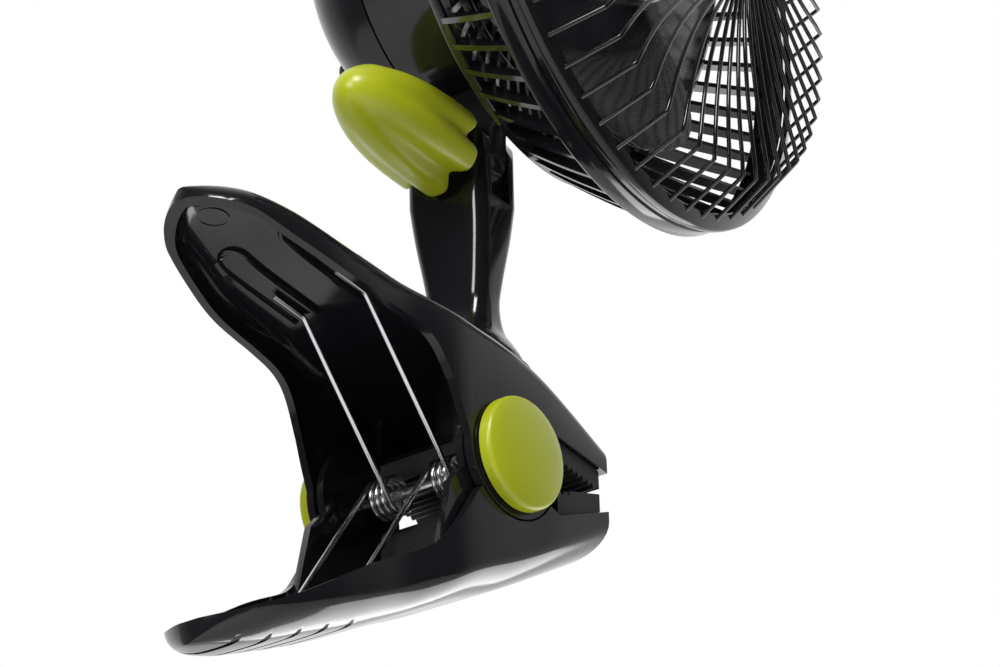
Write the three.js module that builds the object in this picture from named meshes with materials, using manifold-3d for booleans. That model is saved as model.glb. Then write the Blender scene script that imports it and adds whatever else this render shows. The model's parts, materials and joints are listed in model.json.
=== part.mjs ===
// Clip fan: a sprung clamp whose upper shell carries a swivelling neck, a tilting
// motor housing and a caged propeller.
// Millimetres, +Z up, +X towards the nose of the jaws, origin at the centre of the grip.

import * as THREE from 'three';
import { mergeVertices } from 'three/addons/utils/BufferGeometryUtils.js';
import Module from 'manifold-3d';

const wasm = await Module();
wasm.setup();

// ---------------------------------------------------------------- driving dimensions

const GAP = 0.35;                    // clearance between touching pieces
const PIVOT = { x: -28, z: -1 };     // jaw pin, seen from the centre of the grip
const NOSE = 42;                     // pin to the nose of the jaws
const UPPER_TAIL = -97;              // pin to the tips of the handles
const LOWER_TAIL = -90;
const WALL = 2.6;                    // clamp shell thickness
const CHEEK = 30.4;                  // half width over the cheeks at the pin
const EAR_R = 17.6;                  // round ear of the upper cheek
const CAP_R = 16;                    // green cap over each end of the pin
const PIN_R = 1.9;

const NECK_X = 16;                   // swivel axis, forward of the pin
const BOSS_Z = 38.5;                 // top of the swivel boss, above the pin
const TILT_Z = 105.7;                // tilt bolt, above the pin
const HEAD_YAW = -82;                // degrees from the nose, as the head is turned here
const FORK_R = 13.5;                 // round top of the neck's fork
const LUG_HALF = 4.6;                // half width of the head's lug
const FORK_HALF = 10.5;              // half width over the fork

const FAN_AXIS = 67.4;               // fan axis above the tilt bolt
const HOUSING_R = 45;
const HOUSING_FRONT = 21;            // along the fan axis from the tilt bolt
const SEAM = -10;                    // joint of housing and rear cover
const HOUSING_REAR = -39;
const RIM = 63;                      // front edge of the rear grille's band
const BAND_R = 98;                   // outside of the band
const RIM_R = 95;                    // where the front ribs stand on their ring
const BEND_R = 86;                   // where they bend inwards
const BEND_RISE = 18.5;              // height of the bend above the ring
const RIBS = 60;
const SWIRL_R = 115;                 // each rib's arc, seen from the front
const DISC_R = 33;                   // plain centre disc
const DRUM_R = 81;                   // rear ring of the drum
const REAR_FACE = 29;                // along the fan axis
const VANES = 30;
const REAR_RINGS = 8;
const REAR_SPOKES = 6;
const BLADES = 3;
const BLADE_R = 76;

// ---------------------------------------------------------------- materials

const plastic = (color, roughness) => new THREE.MeshStandardMaterial({ color, roughness, metalness: 0 });
const metal = (color, roughness) => new THREE.MeshStandardMaterial({ color, roughness, metalness: 1 });

const MAT = {
  black: plastic('#1b1b1e', 0.18),
  green: plastic('#a3b223', 0.35),
  rubber: plastic('#17171a', 0.8),
  smoke: plastic('#3b3b42', 0.12),
  grey: plastic('#b9babd', 0.3),
  resin: plastic('#8f8a7c', 0.6),
  steel: metal('#c9ccd0', 0.25),
  iron: metal('#6d6f73', 0.45),
  brass: metal('#b99a4b', 0.35),
  copper: metal('#a8562c', 0.4),
};

// ---------------------------------------------------------------- solids

function solid(geometry) {
  const bare = geometry.clone();
  for (const name of Object.keys(bare.attributes)) {
    if (name !== 'position') bare.deleteAttribute(name);
  }
  const merged = mergeVertices(bare, 1e-4);
  return new wasm.Manifold(new wasm.Mesh({
    numProp: 3,
    vertProperties: new Float32Array(merged.attributes.position.array),
    triVerts: new Uint32Array(merged.index.array),
  }));
}

function geometryOf(body) {
  const mesh = body.getMesh();
  const geometry = new THREE.BufferGeometry();
  geometry.setAttribute('position', new THREE.BufferAttribute(new Float32Array(mesh.vertProperties), 3));
  geometry.setIndex(new THREE.BufferAttribute(new Uint32Array(mesh.triVerts), 1));
  geometry.computeVertexNormals();
  return geometry;
}

function join(...geometries) {
  return geometryOf(geometries.map(solid).reduce((sum, next) => sum.add(next)));
}

function cut(geometry, ...tools) {
  return geometryOf(tools.map(solid).reduce((rest, tool) => rest.subtract(tool), solid(geometry)));
}

function meet(geometry, other) {
  return geometryOf(solid(geometry).intersect(solid(other)));
}

// A closed surface through rings of points, with flat ends.
function skin(rings) {
  const count = rings[0].length;
  const positions = rings.flat().flatMap((p) => [p.x, p.y, p.z]);
  const index = [];
  for (let i = 0; i < rings.length - 1; i += 1) {
    for (let j = 0; j < count; j += 1) {
      const a = i * count + j;
      const b = i * count + (j + 1) % count;
      index.push(a, b, b + count, a, b + count, a + count);
    }
  }
  const last = (rings.length - 1) * count;
  for (let j = 1; j < count - 1; j += 1) {
    index.push(0, j + 1, j);
    index.push(last, last + j, last + j + 1);
  }
  const geometry = new THREE.BufferGeometry();
  geometry.setAttribute('position', new THREE.BufferAttribute(new Float32Array(positions), 3));
  geometry.setIndex(index);
  return oriented(geometry);
}

function volume(geometry) {
  const p = geometry.attributes.position;
  const ids = geometry.index.array;
  const corner = [new THREE.Vector3(), new THREE.Vector3(), new THREE.Vector3()];
  let total = 0;
  for (let i = 0; i < ids.length; i += 3) {
    corner.forEach((c, k) => c.fromBufferAttribute(p, ids[i + k]));
    total += corner[0].dot(corner[1].clone().cross(corner[2])) / 6;
  }
  return total;
}

// A wire of even thickness through a list of points.
function wire(points, radius, sides = 5) {
  const rings = [];
  let across = null;
  points.forEach((p, i) => {
    const before = points[Math.max(i - 1, 0)];
    const after = points[Math.min(i + 1, points.length - 1)];
    const along = after.clone().sub(before).normalize();
    if (!across) across = new THREE.Vector3(0.31, 0.52, 0.79).cross(along);
    across = across.clone().addScaledVector(along, -across.dot(along)).normalize();
    const third = along.clone().cross(across);
    const ring = [];
    for (let j = 0; j < sides; j += 1) {
      const a = (j / sides) * 2 * Math.PI;
      ring.push(p.clone().addScaledVector(across, radius * Math.cos(a)).addScaledVector(third, radius * Math.sin(a)));
    }
    rings.push(ring);
  });
  return skin(rings);
}

// Revolved about +Z: profile points are [radius, z].
function turned(profile, segments = 16) {
  const points = profile.map(([r, z]) => new THREE.Vector2(r, z));
  const first = points[0];
  const closes = points[points.length - 1].equals(first);
  const onAxis = first.x === 0 && points[points.length - 1].x === 0;
  if (!closes && !onAxis) points.push(first.clone());
  const geometry = new THREE.LatheGeometry(points, segments).rotateX(Math.PI / 2);
  return oriented(geometry);
}

function oriented(geometry) {
  const bare = geometry.clone();
  for (const name of Object.keys(bare.attributes)) {
    if (name !== 'position') bare.deleteAttribute(name);
  }
  const merged = mergeVertices(bare, 1e-4);
  const whole = [];
  for (let i = 0; i < merged.index.count; i += 3) {
    const [a, b, c] = [0, 1, 2].map((k) => merged.index.getX(i + k));
    if (a !== b && b !== c && c !== a) whole.push(a, b, c);
  }
  merged.setIndex(whole);
  if (volume(merged) < 0) {
    merged.setIndex(whole.map((v, k) => (k % 3 === 1 ? whole[k + 1] : k % 3 === 2 ? whole[k - 1] : v)));
  }
  return merged;
}

const rod = (radius, from, to, segments = 14) => turned([[0, from], [radius, from], [radius, to], [0, to]], segments);

const sleeve = (outer, inner, from, to, segments = 14) => turned(
  [[inner, from], [outer, from], [outer, to], [inner, to]], segments);

function hexagon(acrossFlats, from, to) {
  return rod(acrossFlats / Math.sqrt(3), from, to, 6);
}

function block(x0, x1, y0, y1, z0, z1) {
  return new THREE.BoxGeometry(x1 - x0, y1 - y0, z1 - z0)
    .translate((x0 + x1) / 2, (y0 + y1) / 2, (z0 + z1) / 2);
}

function outline(points) {
  return new THREE.Shape(points.map(([x, y]) => new THREE.Vector2(x, y)));
}

// A flat outline in X and Z, given thickness along Y.
function plate(shape, y0, y1, curveSegments = 6) {
  return new THREE.ExtrudeGeometry(shape, { depth: y1 - y0, bevelEnabled: false, curveSegments })
    .rotateX(Math.PI / 2)
    .translate(0, y1, 0);
}

// A flat outline in Y and Z, given thickness along X.
function slab(shape, x0, x1, curveSegments = 8) {
  return new THREE.ExtrudeGeometry(shape, { depth: x1 - x0, bevelEnabled: false, curveSegments })
    .rotateX(Math.PI / 2)
    .rotateZ(Math.PI / 2)
    .translate(x0, 0, 0);
}

const arc = (radius, from, to, steps) => Array.from({ length: steps + 1 }, (_, i) => {
  const a = THREE.MathUtils.degToRad(from + (to - from) * (i / steps));
  return [radius * Math.cos(a), radius * Math.sin(a)];
});

function smooth(points, count) {
  return new THREE.SplineCurve(points.map(([x, y]) => new THREE.Vector2(x, y)))
    .getPoints(count)
    .map((p) => [p.x, p.y]);
}

// A smooth line through a few points, as a function of x.
function lineThrough(points) {
  const line = smooth(points, 160);
  return (x) => {
    const right = line.findIndex(([px]) => px >= x);
    if (right === 0) return line[0][1];
    if (right < 0) return line[line.length - 1][1];
    const [x0, y0] = line[right - 1];
    const [x1, y1] = line[right];
    return y0 + ((y1 - y0) * (x - x0)) / (x1 - x0);
  };
}

// ---------------------------------------------------------------- clamp shells
// Everything in this section is placed from the jaw pin.

const halfWidth = lineThrough([[UPPER_TAIL - 1, 12.5], [-90, 15], [-84, 17.6], [-76, 20.2], [-64, 23.4], [-52, 24.8],
  [-38, 25.9], [-28, 28.4], [-20, 30], [-8, CHEEK], [8, CHEEK], [20, CHEEK], [NOSE + 1, CHEEK - 0.6]]);
const upperBack = lineThrough([[UPPER_TAIL - 1, 54.5], [-88, 56], [-75, 54.2], [-60, 49.4], [-40, 45], [-18, 40],
  [10, 34.3], [NOSE + 1, 19]]);
const lowerBack = lineThrough([[UPPER_TAIL - 1, -72.5], [-88, -71], [-75, -66.5], [-60, -58.6], [-38, -50.2],
  [-10, -39.4], [NOSE + 1, -16.4]]);
const STATIONS = [-95.4, -92.5, -88.5, -84, -76, -64, -52, -40, -30, -20, -8, 8, 20, 33, NOSE];
const ROUND_END = 13;                // length of the handle's rounded tip

// A bar with the clamp's plan and back line, and an arched back; side is +1 above, -1 below.
function bar(back, side, inset) {
  const depth = 100;
  const corner = 3;
  const tail = side > 0 ? UPPER_TAIL : LOWER_TAIL;
  const endInset = inset > 0 ? WALL : 0;
  const nearest = tail + 0.3 + endInset;
  const furthest = NOSE - endInset;
  const stations = [nearest, ...STATIONS.filter((x) => x > nearest + 0.8 && x < furthest - 1), furthest];
  return skin(stations.map((x) => {
    const t = Math.max(0, (tail + ROUND_END - x + endInset) / ROUND_END);
    const half = halfWidth(x) * Math.sqrt(Math.max(1 - t * t, 0)) - inset;
    const top = back(x) * side - inset;
    const arch = side > 0 ? 8 : 5;
    const rise = arch - inset * 0.8;
    const reach = Math.min(half * 0.75, side > 0 ? 17 : 9);
    const right = [];
    for (let i = 0; i <= corner; i += 1) {
      const a = (i / corner) * (Math.PI / 2);
      right.push([half - reach + reach * Math.sin(a), top - rise + rise * Math.cos(a)]);
    }
    right.push([half, top - depth]);
    const left = right.map(([y, z]) => [-y, z]).reverse();
    return [...left, ...right].map(([y, z]) => new THREE.Vector3(x, y, side * z));
  }));
}

const shellOf = (back, side) => cut(bar(back, side, 0), bar(back, side, WALL));

// Side view of the upper shell: jaw, round ear, then the wall under the handle.
const JAW_BACK = 19.2;
const UPPER_EDGE_NOSE = 7;           // lower edge of the upper jaw's walls
const UPPER_EDGE_BACK = 11.6;
const LOWER_EDGE_NOSE = -3.5;        // upper edge of the lower jaw's walls
const LOWER_EDGE_BACK = -11.7;
const upperSide = outline([
  [NOSE + 2, 70], [NOSE + 2, UPPER_EDGE_NOSE], [JAW_BACK, UPPER_EDGE_BACK],
  ...arc(EAR_R, 40, -180, 14),
  ...smooth([[-EAR_R, 1], [-20, 7], [-24, 17], [-31, 27.5], [-45, 32.6], [-60, 36.3], [-75, 42], [-88, 48],
    [UPPER_TAIL - 1, 51.5]], 14),
  [UPPER_TAIL - 2, 90],
]);

// Side view of the lower shell: jaw, round recess for the upper ear, then the handle's wall.
const RECESS_R = EAR_R + 0.6;
const lowerSide = outline([
  [NOSE + 2, -60], [NOSE + 2, LOWER_EDGE_NOSE], [JAW_BACK, LOWER_EDGE_BACK],
  ...arc(RECESS_R, -34, -138, 9),
  ...smooth([[-15.5, -14.5], [-22, -24], [-30, -32.5], [-48, -41], [-70, -53.3], [-84, -59.6],
    [LOWER_TAIL - 1, -61.5]], 12),
  [LOWER_TAIL - 2, -110],
]);

const EAR_IN = 26.6;                 // outer face of the lower shell's inner ears
const EAR_T = 2.4;
const JAW_HOLLOW = 25;               // half width of the hollows in the jaws

const edgeLine = (back, nose) => (x) => back + ((nose - back) * (x - JAW_BACK)) / (NOSE + 2 - JAW_BACK);
const upperEdge = edgeLine(UPPER_EDGE_BACK, UPPER_EDGE_NOSE);
const lowerEdge = edgeLine(LOWER_EDGE_BACK, LOWER_EDGE_NOSE);
const PAD_HALF = 23.8;

const SPRING_Y = [15, -8];
const SPRING = {
  wire: 0.8, coil: 5.3, pitch: 2.15, upper: 128.5, lower: -125, upperReach: 56.5, lowerReach: 52, foot: 12,
};
const COIL_TURNS = 5;
const COIL_SWEEP = SPRING.lower - SPRING.upper - 180 + COIL_TURNS * 360;
const COIL_LENGTH = (SPRING.pitch * COIL_SWEEP) / 360;

// Two low rails on the inside of a handle that hold the end of a spring leg.
function legPocket(back, side, y, from, to) {
  const rail = (y0, y1) => plate(outline([
    [from, back(from) - side * 1.5], [to, back(to) - side * 1.5],
    [to, back(to) - side * 6.2], [from, back(from) - side * 5.2],
  ]), y0, y1);
  return [rail(y - 4.1, y - 2.8), rail(y + 2.8, y + 4.1)];
}

const pinHole = () => rod(PIN_R + GAP, -60, 60, 10).rotateX(Math.PI / 2);

// Both ends of something placed along Y.
const bothSides = (make) => [make().rotateX(Math.PI / 2), make().rotateX(-Math.PI / 2)];

function upperClamp() {
  const shell = meet(shellOf(upperBack, 1), plate(upperSide, -60, 60));
  const above = cut(block(-60, 60, -60, 60, -60, 80), bar(upperBack, 1, 1));
  const boss = meet(rod(19.2, 14, BOSS_Z - GAP, 22).translate(NECK_X, 0, 0), above);
  const tube = rod(9, 14.5, BOSS_Z - GAP, 16).translate(NECK_X, 0, 0);
  const jawSide = outline([[8, 50], [8, upperEdge(8)], [NOSE, upperEdge(NOSE)], [NOSE, 50]]);
  const jaw = meet(plate(jawSide, -40, 40), bar(upperBack, 1, 1));
  const end = NOSE - WALL;
  const hollowSide = outline([[4, 60], [4, upperEdge(4) + WALL], [end, upperEdge(end) + WALL], [end, 60]]);
  const jawHollow = plate(hollowSide, -JAW_HOLLOW, JAW_HOLLOW);
  const seats = bothSides(() => rod(CAP_R + 0.3, EAR_IN + 1.4, CHEEK + 0.4, 20));
  const pockets = SPRING_Y.flatMap((y) => legPocket(upperBack, 1, y - COIL_LENGTH / 2, -64, -36));
  const body = join(shell, boss, tube, cut(jaw, jawHollow), ...seats, ...pockets);
  const earRoom = bothSides(() => rod(EAR_R + 0.4, EAR_IN - EAR_T - GAP, EAR_IN + GAP, 18));
  const well = rod(7.4, 5, BOSS_Z - 8, 14).translate(NECK_X, 0, 0);
  const bore = rod(4.3, 5, 60, 12).translate(NECK_X, 0, 0);
  return cut(body, ...earRoom, well, bore, pinHole());
}

function lowerClamp() {
  const shell = meet(shellOf(lowerBack, -1), plate(lowerSide, -60, 60));
  const ear = outline([...arc(EAR_R - 0.3, 40, 200, 12), [-22, -12], [-27, -33], [-10, -33], [10, -22], [15, -10]]);
  const ears = [[EAR_IN - EAR_T, EAR_IN], [-EAR_IN, -EAR_IN + EAR_T]].map(([y0, y1]) => plate(ear, y0, y1));
  const foot = outline([...arc(RECESS_R + 0.2, -40, -130, 7), [-25, -34], [-12, -32], [12, -22], [17, -16]]);
  const feet = [[EAR_IN - EAR_T, 40], [-40, -EAR_IN + EAR_T]].map(([y0, y1]) => plate(foot, y0, y1));
  const inside = bar(lowerBack, -1, 0.8);
  const jawSide = outline([[6, -50], [6, lowerEdge(6)], [NOSE, lowerEdge(NOSE)], [NOSE, -50]]);
  const jaw = meet(plate(jawSide, -40, 40), inside);
  const end = NOSE - WALL;
  const hollowSide = outline([[0, -60], [0, lowerEdge(0) - WALL], [end, lowerEdge(end) - WALL], [end, -60]]);
  const jawHollow = plate(hollowSide, -JAW_HOLLOW, JAW_HOLLOW);
  const pockets = SPRING_Y.flatMap((y) => legPocket(lowerBack, -1, y + COIL_LENGTH / 2, -54, -32));
  const body = join(shell, ...ears.map((e) => meet(e, inside)), ...feet.map((f) => meet(f, inside)),
    cut(jaw, jawHollow), ...pockets);
  const recess = bothSides(() => rod(RECESS_R, EAR_IN, 60, 18));
  return cut(body, pinHole(), ...recess);
}

// ---------------------------------------------------------------- rubber pads

const TOOTH = 2.3;

// A row of teeth along a straight face, from x0 to x1.
function teeth(x0, x1, face, height) {
  const points = [];
  for (let x = x0; x <= x1 - TOOTH * 0.5; x += TOOTH) {
    points.push([x, face(x)], [x + TOOTH * 0.5, face(x + TOOTH * 0.5) + height]);
  }
  points.push([x1, face(x1)]);
  return points;
}

// A pad fills its jaw: narrow between the ears, and as wide as the jaw in front of them.
function pad(profile) {
  const narrow = block(-10, JAW_BACK + 0.6, -PAD_HALF, PAD_HALF, -30, 30);
  const wide = meet(block(JAW_BACK + 0.5, NOSE - 1, -40, 40, -30, 30), bar(upperBack, 1, 1.2));
  return meet(plate(outline(profile), -40, 40), join(narrow, wide));
}

const TOOTH_HEIGHT = 1.5;

function upperPad() {
  const face = (x) => 9.8 - (x - 6) * 0.16;
  const seat = (x) => upperEdge(x) - GAP;
  const front = NOSE - 1.2;
  return pad([[6, seat(6)], ...teeth(6, NOSE - 3, face, -TOOTH_HEIGHT), [front, face(front) - 1], [front, seat(front)]]);
}

function lowerPad() {
  const face = (x) => -7.6 + (x - 5) * 0.2;
  const seat = (x) => lowerEdge(x) + GAP;
  const front = NOSE - 1.2;
  const flat = 25;
  const row = teeth(6, flat, (x) => face(x) - TOOTH_HEIGHT, TOOTH_HEIGHT);
  return pad([[6, seat(6)], ...row, [flat + 1, face(flat + 1)], [front - 1, face(front - 1)],
    [front, face(front) - 0.8], [front, seat(front)]]);
}

// ---------------------------------------------------------------- springs and pin

// One wire: bent foot, upper leg, coil round the pin, lower leg, bent foot.
function springPath(y) {
  const rad = THREE.MathUtils.degToRad;
  const ray = (degrees) => new THREE.Vector3(Math.cos(rad(degrees)), 0, Math.sin(rad(degrees)));
  const first = SPRING.upper + 90;
  const steps = Math.round((COIL_SWEEP / 360) * 8);
  const onCoil = (t) => ray(first + COIL_SWEEP * t).multiplyScalar(SPRING.coil)
    .add(new THREE.Vector3(0, y + COIL_LENGTH * (t - 0.5), 0));
  const upperBend = onCoil(0).addScaledVector(ray(SPRING.upper), SPRING.upperReach);
  const lowerBend = onCoil(1).addScaledVector(ray(SPRING.lower), SPRING.lowerReach);
  return [
    upperBend.clone().addScaledVector(ray(SPRING.upper + 40), SPRING.foot), upperBend,
    ...Array.from({ length: steps + 1 }, (_, i) => onCoil(i / steps)),
    lowerBend, lowerBend.clone().addScaledVector(ray(SPRING.lower - 36), SPRING.foot),
  ];
}

// Least clear distance between stretches of one wire that are more than half a turn apart.
function leastGap(points, radius) {
  const parts = 6;
  const dense = points.slice(0, -1)
    .flatMap((p, i) => Array.from({ length: parts }, (_, k) => p.clone().lerp(points[i + 1], k / parts)));
  let least = Infinity;
  dense.forEach((p, i) => {
    dense.slice(i + 5 * parts).forEach((q) => { least = Math.min(least, p.distanceTo(q)); });
  });
  return least - 2 * radius;
}

function spring(y) {
  const path = springPath(y);
  console.log(`spring at y ${y}: least gap to itself ${leastGap(path, SPRING.wire).toFixed(2)} mm`);
  return wire(path, SPRING.wire, 5);
}

const PIN_HALF = CHEEK + 2.4;
const pivotPin = () => rod(PIN_R, -PIN_HALF, PIN_HALF, 16).rotateX(Math.PI / 2);

// Sheet-steel push-on ring that keeps the pin in, under the cap.
const pinClip = () => sleeve(3.6, PIN_R + GAP, CHEEK + 0.75, CHEEK + 1.45, 10);

function pivotCap() {
  const back = CHEEK + 0.75;
  const rim = back + 2.4;
  const rounded = arc(1.8, 0, 60, 2).map(([r, z]) => [CAP_R - 1.8 + r, rim + z]);
  return turned([[0, PIN_HALF + 0.4], [PIN_R + 0.5, PIN_HALF + 0.4], [PIN_R + 0.5, back + 1.2], [4.1, back + 1.2],
    [4.1, back], [CAP_R, back], ...rounded, [CAP_R * 0.5, rim + 2.9], [0, rim + 3.4]], 16);
}

// ---------------------------------------------------------------- neck and swivel
// Placed from the swivel axis, at the height of the jaw pin; X runs along the tilt bolt.

// A level rounded rectangle: depth front to back, width side to side, both halved.
function roundedRing(z, halfDepth, halfWide, round) {
  const r = Math.min(round, halfDepth, halfWide);
  const steps = 3;
  return [[1, 1], [-1, 1], [-1, -1], [1, -1]].flatMap(([sx, sy], quarter) => (
    Array.from({ length: steps + 1 }, (_, i) => {
      const a = (quarter + i / steps) * (Math.PI / 2);
      return new THREE.Vector3(
        sx * (halfWide - r) + r * Math.cos(a), sy * (halfDepth - r) + r * Math.sin(a), z);
    })
  ));
}

// Above the boss: height, half depth, half width, corner radius.
const NECK = [[0, 17, 17, 16.9], [3, 16.8, 16.6, 16.5], [6.5, 14.6, 12.6, 11], [12, 11.2, 8.2, 6], [20, 10.2, 6.4, 4.4],
  [28, 10.9, 6.8, 4], [42, 12.7, 8.8, 4], [53, FORK_R, FORK_HALF, 4], [90, FORK_R, FORK_HALF, 4]];

function neck() {
  const post = skin(NECK.map(([z, depth, wide, r]) => roundedRing(BOSS_Z + z, depth, wide, r)));
  const roundTop = arc(FORK_R, 0, 180, 9).map(([y, z]) => [y, z + TILT_Z]);
  const dome = outline([[-30, 0], [30, 0], [30, TILT_Z], ...roundTop, [-30, TILT_Z]]);
  const spigot = rod(3.9, BOSS_Z - 7.6, BOSS_Z + 1, 24);
  const slot = block(-LUG_HALF - GAP, LUG_HALF + GAP, -30, 30, TILT_Z - FORK_R - 1, TILT_Z + 30);
  const alongBolt = (tool) => tool.rotateY(Math.PI / 2).translate(0, 0, TILT_Z);
  const boltWay = alongBolt(rod(3.3, -30, 30, 20));
  const headSeat = alongBolt(hexagon(10.6, FORK_HALF - 3.4, FORK_HALF + 5));
  const screwWay = rod(2.2, BOSS_Z - 10, BOSS_Z + 15, 16);
  return cut(join(meet(post, slab(dome, -30, 30)), spigot), slot, boltWay, headSeat, screwWay);
}

const swivelWasher = () => sleeve(6.4, 2.3, BOSS_Z - 9.7, BOSS_Z - 8.35, 16);

function swivelScrew() {
  const head = BOSS_Z - 10.05;
  return turned([[0, head - 2.2], [1.6, head - 2.2], [1.8, head - 3], [3.4, head - 2.6], [4.4, head - 1.2], [4.4, head],
    [1.8, head], [1.8, BOSS_Z + 13], [0, BOSS_Z + 14.4]], 12);
}

// ---------------------------------------------------------------- tilt bolt and knob
// From here on everything is placed from the middle of the tilt bolt: X along the bolt,
// Y up, Z forward along the fan axis.

const KNOB_FACE = FORK_HALF + 2.2;
const KNOB_LENGTH = 48;
const KNOB_R = 15;
const KNOB_LOBES = 6;

const alongX = (geometry) => geometry.rotateY(Math.PI / 2);
const towardsKnob = (geometry) => geometry.rotateY(-Math.PI / 2);

const tiltBolt = () => alongX(join(
  hexagon(10, FORK_HALF - 3, FORK_HALF + 0.6).rotateZ(Math.PI / 6),
  rod(2.9, -KNOB_FACE - 13, FORK_HALF - 2.8, 20)));

const tiltWasher = () => towardsKnob(sleeve(8, 3.3, FORK_HALF + GAP, FORK_HALF + 1.8, 14));

const knobInsert = () => towardsKnob(sleeve(4.6, 3.25, KNOB_FACE + 0.6, KNOB_FACE + 12.5, 12));

// A bullet with flutes that deepen towards its open end, leaving a scalloped edge.
function tiltKnob() {
  const around = 24;
  const length = KNOB_LENGTH;
  const domeStart = length - KNOB_R * 0.95;
  const radiusAt = (s) => {
    if (s <= domeStart) return KNOB_R - (s / domeStart) * 1.1;
    const t = (s - domeStart) / (length - domeStart);
    return (KNOB_R - 1.1) * Math.sqrt(Math.max(1 - t * t, 0.006));
  };
  const fluteAt = (s) => 0.2 * Math.max(0, 1 - s / (length * 0.72)) ** 0.8;
  const heights = [0, 5, 14, 24, domeStart, 39, 43, 46, length];
  const body = skin(heights.map((s) => Array.from({ length: around }, (_, i) => {
    const a = (i / around) * 2 * Math.PI;
    const groove = Math.max(0, Math.cos(KNOB_LOBES * a)) ** 1.3;
    const r = radiusAt(s) * (1 - fluteAt(s) * groove);
    const lobe = 1 - groove;
    const edge = s === 0 ? (1 - lobe) * 1.6 : 0;
    return new THREE.Vector3(r * Math.cos(a), r * Math.sin(a), KNOB_FACE + s + edge);
  })));
  const socket = rod(4.95, KNOB_FACE - 1, KNOB_FACE + 13, 12);
  const boltEnd = rod(3.3, KNOB_FACE, KNOB_FACE + 15, 12);
  const hollow = sleeve(11, 6.6, KNOB_FACE - 1, KNOB_FACE + 9, 12);
  return towardsKnob(cut(body, socket, boltEnd, hollow));
}

// ---------------------------------------------------------------- motor housing

const onFanAxis = (geometry) => geometry.translate(0, FAN_AXIS, 0);
const HOUSING_WALL = 2.3;
const ROUND_SIDES = 20;              // facets round the housing and its cover
const POST_X = 37.6;                 // screw posts either side of the motor
const VENTS = 6;
const SCREW_SEAT = HOUSING_REAR + 13;
const CORD_DROP = 22;                // cord way below the fan axis, in the rear cover

function motorHousing() {
  const outer = turned([[0, HOUSING_FRONT], [38, HOUSING_FRONT], [42.5, HOUSING_FRONT - 2],
    [HOUSING_R, HOUSING_FRONT - 7], [HOUSING_R, SEAM], [0, SEAM]], ROUND_SIDES);
  const front = HOUSING_FRONT - HOUSING_WALL;
  const inner = HOUSING_R - HOUSING_WALL;
  const cavity = turned([[0, front], [37, front], [41, front - 2], [inner, front - 6], [inner, SEAM - 1],
    [0, SEAM - 1]], ROUND_SIDES);
  const lug = slab(outline([
    ...arc(FORK_R - 0.6, 180, 360, 10).map(([z, y]) => [y, z]),
    [8, 13], [17, 15], [26, 19], [40, 19], [40, SEAM + 0.2], [21.5, SEAM + 0.2], [17, -12.6], [8, -13],
  ]), -LUG_HALF, LUG_HALF);
  const shell = cut(join(onFanAxis(outer), lug), onFanAxis(cavity));
  const posts = [-POST_X, POST_X].map((x) => onFanAxis(rod(4.2, SEAM + 6, front + 1, 10).translate(x, 0, 0)));
  const screwWays = [-POST_X, POST_X].map((x) => onFanAxis(rod(1.7, SEAM, SEAM + 22, 8).translate(x, 0, 0)));
  const bushSeat = onFanAxis(sleeve(11, 8.2, front - 6, HOUSING_FRONT, 20));
  const bushWay = onFanAxis(rod(8.2, front - 7, HOUSING_FRONT + 5, 20));
  const boltWay = alongX(rod(3.3, -30, 30, 20));
  const grilleScrews = GRILLE_SCREWS.map(([x, y]) => onFanAxis(rod(1.6, 12, HOUSING_FRONT + 5, 8).translate(x, y, 0)));
  const seats = GRILLE_SCREWS.map(([x, y]) => onFanAxis(rod(3.6, 11, front + 1, 8).translate(x, y, 0)));
  return cut(join(cut(shell, bushWay), ...posts, bushSeat, ...seats), boltWay, ...screwWays, ...grilleScrews);
}

const GRILLE_SCREW_R = 33;
const GRILLE_SCREWS = [45, 135, 225, 315].map((degrees) => {
  const a = THREE.MathUtils.degToRad(degrees);
  return [GRILLE_SCREW_R * Math.cos(a), GRILLE_SCREW_R * Math.sin(a)];
});

function motorCover() {
  const edge = SEAM - GAP;
  const inner = HOUSING_R - HOUSING_WALL;
  const outer = turned([[0, HOUSING_REAR], [18, HOUSING_REAR + 0.4], [30, HOUSING_REAR + 3], [38.5, HOUSING_REAR + 9],
    [43, HOUSING_REAR + 17], [HOUSING_R, edge], [inner - GAP, edge], [inner - GAP, edge + 3],
    [0, edge + 3]], ROUND_SIDES);
  const rear = HOUSING_REAR + HOUSING_WALL;
  const cavity = turned([[0, rear], [17, rear + 0.4], [28.6, rear + 3], [36.4, rear + 8.6], [40.6, rear + 16],
    [inner - 2.4, edge - 3], [inner - 2.4, edge + 4], [0, edge + 4]], ROUND_SIDES);
  const posts = [-POST_X, POST_X].map((x) => rod(3.6, rear - 0.5, edge + 2.4, 10).translate(x, 0, 0));
  const postRoom = [-POST_X, POST_X].map((x) => rod(2, HOUSING_REAR - 5, edge + 8, 8).translate(x, 0, 0));
  const headRoom = [-POST_X, POST_X].map((x) => rod(3.1, HOUSING_REAR - 5, SCREW_SEAT, 10).translate(x, 0, 0));
  const slots = Array.from({ length: VENTS }, (_, i) => block(23, 31, -1.3, 1.3, HOUSING_REAR - 5, rear + 5)
    .rotateZ(((i + 0.5) / VENTS) * 2 * Math.PI));
  const dial = rod(4.4, HOUSING_REAR - 5, rear + 5, 12);
  const cordWay = rod(3.5, HOUSING_REAR - 5, rear + 5, 10).translate(0, -CORD_DROP, 0);
  const body = join(cut(outer, cavity), ...posts.map((p) => meet(p, outer)));
  return onFanAxis(cut(body, ...postRoom, ...headRoom, ...slots, dial, cordWay));
}

const coverScrew = (x) => {
  const seat = SCREW_SEAT - GAP;
  return onFanAxis(turned([[0, seat - 2], [2.7, seat - 2], [2.7, seat], [1.35, seat], [1.35, SEAM + 14],
    [0, SEAM + 16]], 7).translate(x, 0, 0));
};

// ---------------------------------------------------------------- motor

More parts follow.
